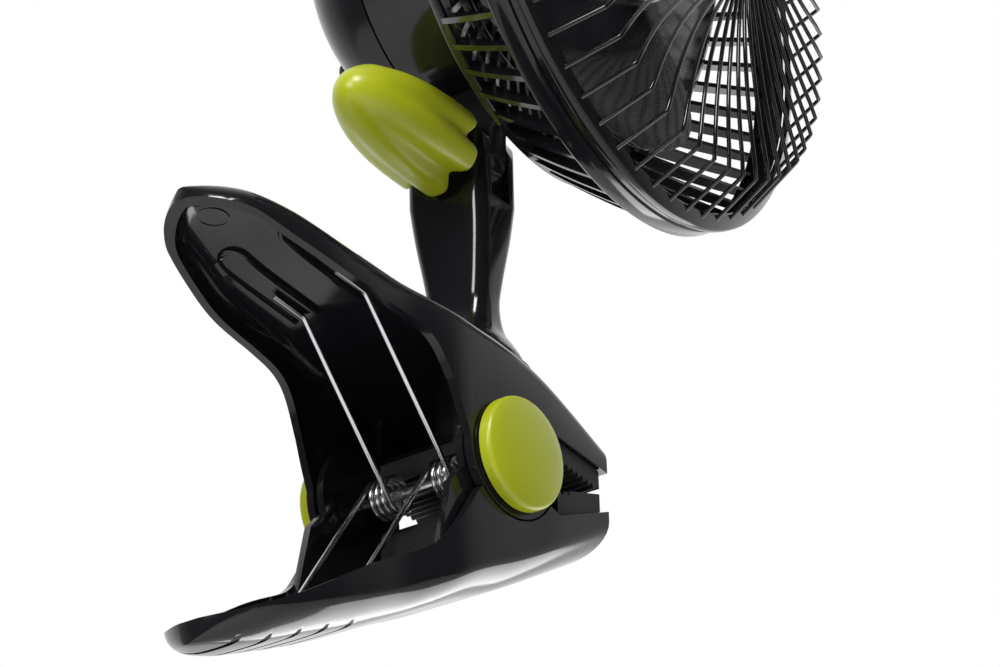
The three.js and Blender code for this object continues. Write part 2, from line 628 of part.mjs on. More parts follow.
const SHAFT_R = 3;
const statorCore = () => onFanAxis(sleeve(32, 15.6, -9, 9, 16));
const winding = (from, to) => onFanAxis(turned([[17, from], [24, from], [27, (from + to) / 2], [24, to], [17, to]], 14));
const rotorCore = () => onFanAxis(sleeve(14.9, SHAFT_R + GAP, -10, 10, 14));
const motorShaft = () => onFanAxis(rod(SHAFT_R, -21, BLADE_MID, 14));
const frontBush = () => onFanAxis(sleeve(7.85, SHAFT_R + GAP, 13.5, 20.2, 14));
const rearBush = () => onFanAxis(sleeve(6, SHAFT_R + GAP, -20, -15.4, 14));

// Pressed bridge that carries the rear bush behind the windings.
function motorBracket() {
  const plateZ = -18.6;
  const strap = block(-30, 30, -8, 8, plateZ, plateZ + 1.6);
  const feet = [-1, 1].map((s) => block(s * 29 - 1.5, s * 29 + 1.5, -8, 8, plateZ, -9.4));
  return onFanAxis(cut(join(strap, ...feet), rod(6.3, -30, 0, 24)));
}

// ---------------------------------------------------------------- speed switch

const switchBody = () => onFanAxis(join(
  block(-9, 9, -8, 8, -35, -24), rod(3.9, -39, -34, 14), cut(rod(2.6, -47, -38, 16), block(1.4, 5, -5, 5, -50, -40))));

function speedKnob() {
  const back = HOUSING_REAR - GAP;
  const knob = turned([[0, back - 11], [9.4, back - 11], [10.4, back - 10], [11.2, back - 1.5], [11.2, back], [0, back]], 14);
  const pointer = block(-1.1, 1.1, 1.5, 11, back - 12.4, back - 9);
  return onFanAxis(cut(join(knob, pointer), rod(4.3, back - 2.4, back + 1, 12), rod(3, back - 8.6, back, 12)));
}

// Flexible gland where the cord would enter the rear cover.
const cordGland = () => {
  const face = HOUSING_REAR - GAP;
  return onFanAxis(turned([[2.1, face + 4.6], [3.1, face + 4.6], [3.1, face], [5, face], [5, face - 1.4], [4, face - 2.4],
    [3.2, face - 9], [2.1, face - 9]], 10).translate(0, -CORD_DROP, 0));
};

// ---------------------------------------------------------------- grilles

const BAND_BACK = RIM - 9;

// Rings that step forward as they widen, between the hub plate and the drum.
function rearRings() {
  const first = 48.6;
  const pitch = (DRUM_R - 1 - first) / REAR_RINGS;
  return Array.from({ length: REAR_RINGS }, (_, i) => {
    const r = first + i * pitch;
    const z = 22.4 + (i / (REAR_RINGS - 1)) * 4.6;
    return turned([[r, z], [r + 1.6, z], [r + 0.8, z + 2.2]], 18);
  });
}

function rearGrille() {
  const hub = turned([[12, 21.4], [46.4, 21.4], [46.4, 24.2], [12, 24.2]], 18);
  const drumRing = turned([[DRUM_R - 3, 26], [DRUM_R, 26.6], [DRUM_R, REAR_FACE + 1],
    [DRUM_R - 3, REAR_FACE + 1]], VANES);
  const band = turned([[BAND_R - 3, BAND_BACK], [BAND_R, BAND_BACK + 0.6], [BAND_R, RIM - 0.6],
    [BAND_R - 3, RIM + 1.2]], VANES);
  const spokes = Array.from({ length: REAR_SPOKES }, (_, i) => {
    const wide = i === 0 ? 4 : 2;
    const shape = outline([[43, 21.4], [DRUM_R - 1, 26.2], [DRUM_R - 1, 28], [43, 23.2]]);
    return plate(shape, -wide, wide).rotateZ(((i + 0.27) / REAR_SPOKES) * 2 * Math.PI);
  });
  const vaneShape = outline([[DRUM_R - 2.7, 28.6], [DRUM_R - 2, 27.6], [BAND_R - 0.9, BAND_BACK + 1.4],
    [BAND_R - 2.5, BAND_BACK + 2]]);
  const vanes = Array.from({ length: VANES }, (_, i) => plate(vaneShape, -0.65, 0.65)
    .rotateZ(((i + 0.5) / VANES) * 2 * Math.PI));
  const screwHoles = GRILLE_SCREWS.map(([x, y]) => rod(2, 15, 40, 6).translate(x, y, 0));
  return onFanAxis(cut(join(hub, ...rearRings(), drumRing, band, ...spokes, ...vanes), ...screwHoles));
}

const grilleMountScrew = ([x, y]) => onFanAxis(
  turned([[0, 12.5], [1.3, 14], [1.3, 24.55], [3.2, 24.55], [3, 26], [0, 26.8]], 7).translate(x, y, 0));

// One rib: up from the ring, over the bend, then inwards along a curve.
function ribPath() {
  const bendZ = RIM + BEND_RISE;
  const discZ = bendZ + 3.2;
  const centre = new THREE.Vector2(BEND_R, SWIRL_R);
  const reach = centre.length();
  const inner = DISC_R - 1;
  const cosAt = (reach ** 2 + inner ** 2 - SWIRL_R ** 2) / (2 * reach * inner);
  const end = Math.atan2(centre.y, centre.x) - Math.acos(cosAt);
  const endPoint = new THREE.Vector2(inner * Math.cos(end), inner * Math.sin(end));
  const from = -Math.PI / 2;
  const to = Math.atan2(endPoint.y - centre.y, endPoint.x - centre.x);
  const turn = to - from;
  const steps = 2;
  const path = [new THREE.Vector3(RIM_R + 0.8, 0, RIM + 3), new THREE.Vector3(BEND_R, 0, bendZ)];
  for (let i = 1; i <= steps; i += 1) {
    const a = from + turn * (i / steps);
    const z = bendZ + (discZ - bendZ) * Math.sin((i / steps) * (Math.PI / 2));
    path.push(new THREE.Vector3(centre.x + SWIRL_R * Math.cos(a), centre.y + SWIRL_R * Math.sin(a), z));
  }
  return path;
}

function frontGrille() {
  const discZ = RIM + BEND_RISE + 3.2;
  const ring = turned([[RIM_R - 1, RIM + 2.2], [BAND_R + 1.4, RIM - 0.2], [BAND_R + 1.4, RIM + 2.4],
    [RIM_R - 1, RIM + 4]], RIBS / 2);
  const discRing = sleeve(DISC_R, DISC_R - 2.8, discZ - 1.3, discZ + 1.3, 24);
  const rib = wire(ribPath(), 0.95, 3);
  const ribs = Array.from({ length: RIBS }, (_, i) => rib.clone().rotateZ(((i + 0.5) / RIBS) * 2 * Math.PI));
  return onFanAxis(join(ring, discRing, ...ribs));
}

function centreDisc() {
  const discZ = RIM + BEND_RISE + 3.2;
  const r = DISC_R - 2.8 - GAP;
  return onFanAxis(turned([[0, discZ - 0.6], [r, discZ - 0.6], [r, discZ + 0.8], [r - 1.2, discZ + 1.9],
    [0, discZ + 3.4]], 24));
}

// ---------------------------------------------------------------- propeller

const HUB_R = 28;
const BLADE_MID = 50;

function blade() {
  const across = 5;
  const thick = 0.9;
  // radius, half of the blade's angle, sweep of its middle, half of its axial depth
  const stations = [[HUB_R - 1.6, 46, 0, 9], [36, 49, 1, 11], [46, 51, 3, 12.6], [56, 51, 5, 13.2],
    [65, 48, 8, 12.6], [72, 40, 10, 11], [BLADE_R, 22, 13, 7]];
  return skin(stations.map(([r, half, sweep, depth]) => {
    const point = (s, lift) => {
      const a = THREE.MathUtils.degToRad(sweep + half * s);
      const bow = 1.8 * (1 - s * s);
      return new THREE.Vector3(r * Math.cos(a), r * Math.sin(a), BLADE_MID + depth * s + bow + lift);
    };
    const steps = Array.from({ length: across + 1 }, (_, i) => -1 + (2 * i) / across);
    return [...steps.map((s) => point(s, -thick)), ...steps.reverse().map((s) => point(s, thick))];
  }));
}

function fanBlades() {
  const back = BLADE_MID - 11;
  const face = BLADE_MID + 10;
  const cup = turned([[HUB_R - 2, back], [HUB_R, back], [HUB_R, face - 2], [HUB_R - 1.4, face], [0, face],
    [0, face - 2.4], [HUB_R - 2, face - 2.4]], 24);
  const boss = sleeve(7, SHAFT_R + GAP, back, face - 2, 14);
  const blades = Array.from({ length: BLADES }, (_, i) => cut(blade(), rod(HUB_R - 1, 0, 80, 24))
    .rotateZ((i / BLADES) * 2 * Math.PI));
  return onFanAxis(join(cut(cup, rod(SHAFT_R + GAP, back - 6, BLADE_MID + 1, 14)), boss, ...blades));
}

const SPINNER = BLADE_MID + 10.4;     // back of the hub's domed face
const hubSpinner = () => onFanAxis(turned([[0, SPINNER], [HUB_R - 0.6, SPINNER], [HUB_R - 5, SPINNER + 5],
  [HUB_R * 0.5, SPINNER + 8], [0, SPINNER + 9.2]], 16));

// ---------------------------------------------------------------- assembly

function piece(name, geometry, material) {
  const flat = geometry.clone();
  flat.deleteAttribute('normal');
  flat.deleteAttribute('uv');
  flat.computeVertexNormals();
  const mesh = new THREE.Mesh(flat, material);
  mesh.name = name;
  return mesh;
}

const mirrored = (name, make, material) => {
  const [near, far] = bothSides(make);
  return [piece(`${name}_near`, near, material), piece(`${name}_far`, far, material)];
};

const clipFan = new THREE.Group();
const clamp = new THREE.Group();
clamp.position.set(PIVOT.x, 0, PIVOT.z);
clamp.add(
  piece('upper_clamp', upperClamp(), MAT.black),
  piece('lower_clamp', lowerClamp(), MAT.black),
  piece('upper_jaw_pad', upperPad(), MAT.rubber),
  piece('lower_jaw_pad', lowerPad(), MAT.rubber),
  piece('spring_far', spring(SPRING_Y[0]), MAT.steel),
  piece('spring_near', spring(SPRING_Y[1]), MAT.steel),
  piece('pivot_pin', pivotPin(), MAT.steel),
  ...mirrored('pin_clip', pinClip, MAT.steel),
  ...mirrored('pivot_cap', pivotCap, MAT.green),
);

const swivel = new THREE.Group();
swivel.position.set(NECK_X, 0, 0);
swivel.rotation.z = THREE.MathUtils.degToRad(HEAD_YAW + 90);
swivel.add(
  piece('neck', neck(), MAT.black),
  piece('swivel_washer', swivelWasher(), MAT.steel),
  piece('swivel_screw', swivelScrew(), MAT.steel),
);

const head = new THREE.Group();
head.position.set(0, 0, TILT_Z);
head.rotation.x = Math.PI / 2;
head.add(
  piece('tilt_bolt', tiltBolt(), MAT.steel),
  piece('tilt_washer', tiltWasher(), MAT.steel),
  piece('tilt_knob', tiltKnob(), MAT.green),
  piece('knob_insert', knobInsert(), MAT.brass),
  piece('motor_housing', motorHousing(), MAT.black),
  piece('motor_cover', motorCover(), MAT.black),
  piece('cover_screw_a', coverScrew(-POST_X), MAT.steel),
  piece('cover_screw_b', coverScrew(POST_X), MAT.steel),
  piece('stator_core', statorCore(), MAT.iron),
  piece('front_winding', winding(9.35, 14.8), MAT.copper),
  piece('rear_winding', winding(-14.8, -9.35), MAT.copper),
  piece('motor_bracket', motorBracket(), MAT.steel),
  piece('front_bush', frontBush(), MAT.brass),
  piece('rear_bush', rearBush(), MAT.brass),
  piece('motor_shaft', motorShaft(), MAT.steel),
  piece('rotor_core', rotorCore(), MAT.iron),
  piece('switch_body', switchBody(), MAT.resin),
  piece('speed_knob', speedKnob(), MAT.black),
  piece('cord_gland', cordGland(), MAT.rubber),
  piece('rear_grille', rearGrille(), MAT.black),
  ...GRILLE_SCREWS.map((place, i) => piece(`grille_screw_${i + 1}`, grilleMountScrew(place), MAT.steel)),
  piece('front_grille', frontGrille(), MAT.black),
  piece('centre_disc', centreDisc(), MAT.black),
  piece('fan_blades', fanBlades(), MAT.smoke),
  piece('hub_spinner', hubSpinner(), MAT.grey),
);

swivel.add(head);
clamp.add(swivel);
clipFan.add(clamp);

export default clipFan;
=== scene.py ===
"""Clip fan: the finishes and the fine pieces of its clamp, neck and head."""

import json
import math

import bmesh
import bpy
from mathutils import Matrix, Vector

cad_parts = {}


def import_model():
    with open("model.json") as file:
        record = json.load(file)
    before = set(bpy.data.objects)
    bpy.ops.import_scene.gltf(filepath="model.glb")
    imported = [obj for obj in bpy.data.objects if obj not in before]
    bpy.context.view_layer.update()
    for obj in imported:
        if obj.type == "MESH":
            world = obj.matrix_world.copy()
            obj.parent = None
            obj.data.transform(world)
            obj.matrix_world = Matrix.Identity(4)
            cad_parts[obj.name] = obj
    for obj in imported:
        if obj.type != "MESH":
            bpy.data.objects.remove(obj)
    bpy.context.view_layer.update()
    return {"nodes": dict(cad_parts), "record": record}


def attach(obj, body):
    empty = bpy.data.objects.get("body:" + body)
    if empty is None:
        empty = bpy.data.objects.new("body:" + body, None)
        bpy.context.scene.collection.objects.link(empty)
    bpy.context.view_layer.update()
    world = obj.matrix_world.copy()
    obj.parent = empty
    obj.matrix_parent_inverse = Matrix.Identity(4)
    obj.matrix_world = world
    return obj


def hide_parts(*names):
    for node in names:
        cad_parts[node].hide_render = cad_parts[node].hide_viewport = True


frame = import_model()

MM = 0.001

# ---------------------------------------------------------------- the part's own sizes, in millimetres

PIVOT = Vector((-28, 0, -1))
GAP = 0.35
NOSE, WALL, CHEEK = 42, 2.6, 30.4
UPPER_TAIL, LOWER_TAIL, ROUND_END = -97, -90, 13
EAR_R, RECESS_R, EAR_IN, EAR_T = 17.6, 18.2, 26.6, 2.4
CAP_R, PIN_R = 16, 1.9
JAW_BACK, JAW_HOLLOW = 19.2, 25
NECK_X, BOSS_Z, TILT_Z = 16, 38.5, 105.7
BOLT_WAY, NUT_WIDTH = 3.3, 10.6
HEAD_TURN = math.radians(8)
FORK_R, LUG_HALF, FORK_HALF = 13.5, 4.6, 10.5
FAN_AXIS, HOUSING_R, HOUSING_FRONT, SEAM, HOUSING_REAR = 67.4, 45, 21, -10, -39
HOUSING_WALL, SHOULDER, POST_X, VENTS, CORD_DROP = 2.3, 8, 37.6, 6, 22
RIM, BAND_R, RIM_R, BEND_R, BEND_RISE = 63, 98, 95, 86, 18.5
RIBS, RIB_R, SWIRL_R, DISC_R, DISC_RISE, EYE = 60, 0.65, 115, 33, 3.2, 2.8
DISC_Z = RIM + BEND_RISE + DISC_RISE
BLADES, BLADE_R, HUB_R, BLADE_MID = 3, 76, 28, 50
KNOB_FACE, KNOB_LENGTH, KNOB_R, KNOB_LOBES = FORK_HALF + 2.2, 48, 15, 6
BESIDE, OUTSIDE = 40, 60                # past the sides of the clamp
ON_AXIS = 1e-6
MERGE = 1e-5
ASKEW = Vector((0.31, 0.52, 0.79))      # a direction that no wire or rib follows

scaled = Matrix.Scale(MM, 4)
AT_PIN = scaled @ Matrix.Translation(PIVOT)
AT_NECK = AT_PIN @ Matrix.Translation((NECK_X, 0, 0)) @ Matrix.Rotation(HEAD_TURN, 4, "Z")
AT_BOLT = AT_NECK @ Matrix.Translation((0, 0, TILT_Z)) @ Matrix.Rotation(math.pi / 2, 4, "X")
AT_FAN = AT_BOLT @ Matrix.Translation((0, FAN_AXIS, 0))
ALONG_Y = Matrix.Rotation(math.pi / 2, 4, "X")
TOWARDS_KNOB = Matrix.Rotation(-math.pi / 2, 4, "Y")

# ---------------------------------------------------------------- finishes


DARKER, LIGHTER = 0.93, 1.07
SMOOTHEST, RELIEF_DEPTH, SOLID_IOR = 0.02, 0.0002, 1.5
BROAD_SCALE, BROAD_DETAIL, FINE_DETAIL = 45, 4, 3


def finish(name, color, rough, metal=0.0, grain=900, bump=0.02, vary=0.05, transmission=0.0):
    """A moulded, turned or plated surface: its roughness and height vary a little over it."""
    mat = bpy.data.materials.new(name)
    mat.use_nodes = True
    nodes, links = mat.node_tree.nodes, mat.node_tree.links
    shader = nodes["Principled BSDF"]
    shader.inputs["Metallic"].default_value = metal
    shader.inputs["IOR"].default_value = SOLID_IOR
    shader.inputs["Transmission Weight"].default_value = transmission
    place = nodes.new("ShaderNodeTexCoord")
    fine = nodes.new("ShaderNodeTexNoise")
    fine.inputs["Scale"].default_value = grain
    fine.inputs["Detail"].default_value = FINE_DETAIL
    broad = nodes.new("ShaderNodeTexNoise")
    broad.inputs["Scale"].default_value = BROAD_SCALE
    broad.inputs["Detail"].default_value = BROAD_DETAIL
    links.new(place.outputs["Object"], fine.inputs["Vector"])
    links.new(place.outputs["Object"], broad.inputs["Vector"])
    spread = nodes.new("ShaderNodeMapRange")
    spread.inputs["To Min"].default_value = max(rough - vary, SMOOTHEST)
    spread.inputs["To Max"].default_value = rough + vary
    links.new(broad.outputs["Fac"], spread.inputs["Value"])
    links.new(spread.outputs["Result"], shader.inputs["Roughness"])
    tint = nodes.new("ShaderNodeMix")
    tint.data_type = "RGBA"
    tint.inputs["A"].default_value = (*[c * DARKER for c in color], 1)
    tint.inputs["B"].default_value = (*[min(c * LIGHTER, 1) for c in color], 1)
    links.new(broad.outputs["Fac"], tint.inputs["Factor"])
    links.new(tint.outputs["Result"], shader.inputs["Base Color"])
    relief = nodes.new("ShaderNodeBump")
    relief.inputs["Strength"].default_value = bump
    relief.inputs["Distance"].default_value = RELIEF_DEPTH
    links.new(fine.outputs["Fac"], relief.inputs["Height"])
    links.new(relief.outputs["Normal"], shader.inputs["Normal"])
    return mat


FINISHES = {
    "black_gloss": finish("black_gloss", (0.008, 0.008, 0.010), 0.12, bump=0.02, vary=0.03),
    "green_plastic": finish("green_plastic", (0.40, 0.45, 0.012), 0.33, bump=0.05),
    "pad_rubber": finish("pad_rubber", (0.012, 0.012, 0.013), 0.62, bump=0.3, grain=1400, vary=0.1),
    "smoke_plastic": finish("smoke_plastic", (0.06, 0.06, 0.068), 0.12, bump=0.01, vary=0.02,
                            transmission=0.8),
    "grey_plastic": finish("grey_plastic", (0.42, 0.42, 0.44), 0.3),
    "resin": finish("resin", (0.3, 0.28, 0.24), 0.5),
    "spring_steel": finish("spring_steel", (0.72, 0.72, 0.74), 0.2, metal=1.0, bump=0.05),
    "steel": finish("steel", (0.55, 0.56, 0.58), 0.32, metal=1.0, bump=0.08),
    "core_iron": finish("core_iron", (0.22, 0.22, 0.23), 0.45, metal=1.0, bump=0.2),
    "brass": finish("brass", (0.6, 0.44, 0.17), 0.3, metal=1.0),
    "copper": finish("copper", (0.5, 0.2, 0.08), 0.35, metal=1.0, bump=0.3),
}

for part in frame["record"]["subparts"]:
    node = frame["nodes"][part["node"]]
    for i in range(max(len(node.data.materials), 1)):
        if node.data.materials:
            node.data.materials[i] = FINISHES[part["material_slot"]]
        else:
            node.data.materials.append(FINISHES[part["material_slot"]])

# ---------------------------------------------------------------- lines and closed surfaces


def arc(radius, start, end, steps):
    turns = [math.radians(start + (end - start) * i / steps) for i in range(steps + 1)]
    return [(radius * math.cos(a), radius * math.sin(a)) for a in turns]


def smooth(points, count):
    """A curve through all its points."""
    out = []
    last = len(points) - 1
    for k in range(count + 1):
        t = last * k / count
        i = min(int(t), last - 1)
        w = t - i
        p = [points[min(max(j, 0), last)] for j in (i - 1, i, i + 1, i + 2)]
        row = []
        for a, b, c, d in zip(*p):
            v0, v1 = (c - a) / 2, (d - b) / 2
            cubic, square = 2 * b - 2 * c + v0 + v1, -3 * b + 3 * c - 2 * v0 - v1
            row.append(cubic * w**3 + square * w**2 + v0 * w + b)
        out.append(tuple(row))
    return out


def line_through(points):
    """The height of the curve through all its points, at any place along it."""
    line = smooth(points, count=160)

    def height(x):
        for (x0, y0), (x1, y1) in zip(line, line[1:]):
            if x <= x1:
                return y0 + (y1 - y0) * (x - x0) / (x1 - x0)
        return line[-1][1]

    return height


def loft(rings):
    """Rings of points joined in order, with flat ends."""
    n = len(rings[0])
    verts = [tuple(p) for ring in rings for p in ring]
    rows = len(rings)
    faces = []
    for i in range(rows - 1):
        for j in range(n):
            a, b = i * n + j, i * n + (j + 1) % n
            faces.append((a, b, b + n, a + n))
    faces.append(tuple(reversed(range(n))))
    faces.append(tuple(range((rows - 1) * n, rows * n)))
    return verts, faces


def lathe(profile, steps=72):
    """Revolved about Z; a profile that starts and ends on the axis closes there."""
    verts, faces, ids = [], [], []
    for r, z in profile:
        on_axis = r < ON_AXIS
        ids.append((len(verts), on_axis))
        for k in range(1 if on_axis else steps):
            a = 2 * math.pi * k / steps
            verts.append((r * math.cos(a), r * math.sin(a), z))
    pairs = list(zip(ids, ids[1:]))
    if not (ids[0][1] and ids[-1][1]):
        pairs.append((ids[-1], ids[0]))
    for (a, a_axis), (b, b_axis) in pairs:
        if a_axis and b_axis:
            continue
        for k in range(steps):
            m = (k + 1) % steps
            if a_axis:
                faces.append((a, b + m, b + k))
            elif b_axis:
                faces.append((a + k, a + m, b))
            else:
                faces.append((a + k, a + m, b + m, b + k))
    return verts, faces


def rod(radius, low, high, steps=48):
    return lathe([(0, low), (radius, low), (radius, high), (0, high)], steps)


def sleeve(outer, inner, low, high, steps=48):
    return lathe([(inner, low), (outer, low), (outer, high), (inner, high)], steps)


def tube(points, radius, sides):
    """A round wire along a line."""
    points = [Vector(p) for p in points]
    rings, across = [], None
    for i, p in enumerate(points):
        along = (points[min(i + 1, len(points) - 1)] - points[max(i - 1, 0)]).normalized()
        if across is None:
            across = ASKEW.cross(along)
        across = (across - along * across.dot(along)).normalized()
        third = along.cross(across)
        turns = [2 * math.pi * k / sides for k in range(sides)]
        rings.append([p + (across * math.cos(a) + third * math.sin(a)) * radius for a in turns])
    return loft(rings)


def plate(outline, low, high):
    """An outline in X and Z, thick along Y."""
    return loft([[(x, low, z) for x, z in outline], [(x, high, z) for x, z in outline]])


def slab(outline, low, high):
    """An outline in Y and Z, thick along X."""
    return loft([[(low, y, z) for y, z in outline], [(high, y, z) for y, z in outline]])


def block(x0, x1, y0, y1, z0, z1):
    return plate([(x0, z0), (x1, z0), (x1, z1), (x0, z1)], y0, y1)


def moved(form, matrix):
    verts, faces = form
    return [tuple(matrix @ Vector(v)) for v in verts], faces


def spun(form, degrees):
    return moved(form, Matrix.Rotation(math.radians(degrees), 4, "Z"))


def both_ends(form):
    """The same turned form at both ends of the pin."""
    return [moved(form, ALONG_Y), moved(form, Matrix.Rotation(-math.pi / 2, 4, "X"))]


def gather(*forms):
    verts, faces = [], []
    for v, f in forms:
        faces += [tuple(i + len(verts) for i in face) for face in f]
        verts += v
    return verts, faces


# ---------------------------------------------------------------- pieces


def raw(name, form):
    mesh = bpy.data.meshes.new(name)
    mesh.from_pydata(form[0], [], form[1])
    work = bmesh.new()
    work.from_mesh(mesh)
    bmesh.ops.remove_doubles(work, verts=work.verts, dist=MERGE)
    bmesh.ops.recalc_face_normals(work, faces=work.faces)
    work.to_mesh(mesh)
    work.free()
    obj = bpy.data.objects.new(name, mesh)
    bpy.context.collection.objects.link(obj)
    return obj


def shape(base, *steps):
    """A base form with others added to it, cut from it or met with it, in order."""
    obj = raw("work", base)
    for how, form in steps:
        tool = raw("tool", form)
        cutter = obj.modifiers.new("step", "BOOLEAN")
        cutter.operation = how
        cutter.solver = "MANIFOLD"
        cutter.object = tool
        done = obj.evaluated_get(bpy.context.evaluated_depsgraph_get())
        result = bpy.data.meshes.new_from_object(done)
        obj.modifiers.clear()
        old, obj.data = obj.data, result
        bpy.data.meshes.remove(old)
        tool_mesh = tool.data
        bpy.data.objects.remove(tool)
        bpy.data.meshes.remove(tool_mesh)
    verts = [tuple(v.co) for v in obj.data.vertices]
    faces = [tuple(f.vertices) for f in obj.data.polygons]
    mesh = obj.data
    bpy.data.objects.remove(obj)
    bpy.data.meshes.remove(mesh)
    return verts, faces


def add(form):
    return "UNION", form


def cut(form):
    return "DIFFERENCE", form


def meet(form):
    return "INTERSECT", form


def piece(name, form, place, body, slot, nodes, sharp=32):
    """A finished piece: it rides on a body and stands for the plain solids named."""
    obj = raw(name, form)
    obj.data.transform(place)
    obj.data.shade_smooth()
    obj.data.set_sharp_from_angle(angle=math.radians(sharp))
    obj.data.materials.clear()
    obj.data.materials.append(FINISHES[slot])
    obj.data.name = name
    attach(obj, body)
    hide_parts(*nodes)


# ---------------------------------------------------------------- clamp

half_width = line_through([
    (UPPER_TAIL - 1, 12.5), (-90, 15), (-84, 17.6), (-76, 20.2), (-64, 23.4), (-52, 24.8), (-38, 25.9),
    (-28, 28.4), (-20, 30), (-8, CHEEK), (8, CHEEK), (20, CHEEK), (NOSE + 1, CHEEK - 0.6),
])
upper_back = line_through([
    (UPPER_TAIL - 1, 54.5), (-88, 56), (-75, 54.2), (-60, 49.4), (-40, 45), (-18, 40), (10, 34.3),
    (NOSE + 1, 19),
])
lower_back = line_through([
    (UPPER_TAIL - 1, -67), (-88, -67), (-75, -65), (-60, -60), (-38, -52), (-10, -39.8), (10, -31.6),
    (NOSE + 1, -15.6),
])
TIP_STEPS, BAR_STEPS, CORNER_STEPS = 14, 56, 9
TIP_FLAT, BAR_DEPTH = 0.3, 100
BACK_RISE, BACK_REACH = {1: 8, -1: 9}, {1: 17, -1: 16}
RISE_SHARE, REACH_SHARE = 0.8, 0.75


def bar(back, side, inset):
    """The solid of a handle and jaw: its plan, its back line, an arched back and a rounded tip."""
    tail = UPPER_TAIL if side > 0 else LOWER_TAIL
    end = WALL if inset else 0
    near, far = tail + TIP_FLAT + end, NOSE - end
    stations = [near + (ROUND_END - 1) * (i / TIP_STEPS) ** 2 for i in range(TIP_STEPS)]
    first = near + ROUND_END - 1
    stations += [first + (far - first) * i / BAR_STEPS for i in range(BAR_STEPS + 1)]
    rings = []
    for x in stations:
        t = max(0.0, (tail + ROUND_END - x + end) / ROUND_END)
        half = half_width(x) * math.sqrt(max(1 - t * t, 0)) - inset
        top = back(x) * side - inset
        rise = BACK_RISE[side] - inset * RISE_SHARE
        reach = min(half * REACH_SHARE, BACK_REACH[side])
        right = []
        for i in range(CORNER_STEPS + 1):
            a = i / CORNER_STEPS * math.pi / 2
            right.append((half - reach + reach * math.sin(a), top - rise + rise * math.cos(a)))
        right.append((half, top - BAR_DEPTH))
        ring = [(-y, z) for y, z in reversed(right)] + right
        rings.append([(x, y, side * z) for y, z in ring])
    return loft(rings)


def edge_line(back, nose):
    return lambda x: back + (nose - back) * (x - JAW_BACK) / (NOSE + 2 - JAW_BACK)


UPPER_EDGE = (11.6, 7)
LOWER_EDGE = (-11.7, -3.5)
upper_edge = edge_line(*UPPER_EDGE)
lower_edge = edge_line(*LOWER_EDGE)

UPPER_SIDE = [
    (NOSE + 2, 70), (NOSE + 2, UPPER_EDGE[1]), (JAW_BACK, UPPER_EDGE[0]), *arc(EAR_R, 40, -180, steps=60),
    *smooth([(-EAR_R, 1), (-20, 7), (-24, 17), (-31, 27.5), (-45, 32.6), (-60, 36.3), (-75, 42), (-88, 48),
             (UPPER_TAIL - 1, 51.5)], count=60),
    (UPPER_TAIL - 2, 90),
]
LOWER_SIDE = [
    (NOSE + 2, -60), (NOSE + 2, LOWER_EDGE[1]), (JAW_BACK, LOWER_EDGE[0]),
    *arc(RECESS_R, -34, -138, steps=40),
    *smooth([(-15.5, -14.5), (-22, -24), (-30, -32.5), (-48, -41), (-70, -53.3), (-84, -59.6),
             (LOWER_TAIL - 1, -61.5)], count=50),
    (LOWER_TAIL - 2, -110),
]
SPRING_Y = (15, -8)
WIRE, COIL, PITCH = 0.8, 5.3, 2.15
UPPER_LEG, LOWER_LEG, UPPER_REACH, LOWER_REACH, FOOT = 128.5, -125, 56.5, 52, 12
COIL_SWEEP = LOWER_LEG - UPPER_LEG - 180 + 5 * 360
COIL_LENGTH = PITCH * COIL_SWEEP / 360
COIL_STEPS = 110
CHANNEL_HALF, CHANNEL_RIM, CHANNEL_SUNK = 4.0, 1.15, 0.4
LEG_STEPS, TURN_STEPS = 12, 10
GROOVE_STEPS, GROOVE_R, GROOVE_INSET, GROOVE_LIP = 14, 1.1, 3.2, 9
PIN_WAY = moved(rod(PIN_R + GAP, -OUTSIDE, OUTSIDE, steps=32), ALONG_Y)
UNDER_NECK = Matrix.Translation((NECK_X, 0, 0))


def channel(back, side, y, far, near):
    """A raised U round the foot of a spring leg, on the inside of a handle."""
    reach = CHANNEL_HALF
    along = [near + (far - near) * i / LEG_STEPS for i in range(LEG_STEPS + 1)]
    turns = [math.pi * i / TURN_STEPS for i in range(1, TURN_STEPS)]
    path = [(x, y - reach) for x in along]
    path += [(far - reach * math.sin(a), y - reach * math.cos(a)) for a in turns]
    path += [(x, y + reach) for x in reversed(along)]
    return tube([(x, py, back(x) - side * (WALL + CHANNEL_SUNK)) for x, py in path], CHANNEL_RIM, sides=10)


def ejector_mark(x, y):
    """A faint round rim on the ceiling of the upper handle."""
    slope = math.atan2(upper_back(x + 3) - upper_back(x - 3), 6)
    place = Matrix.Translation((x, y, upper_back(x) - WALL - 0.2)) @ Matrix.Rotation(-slope, 4, "Y")
    return moved(sleeve(4.4, 3.9, -0.1, 0.9, steps=40), place)


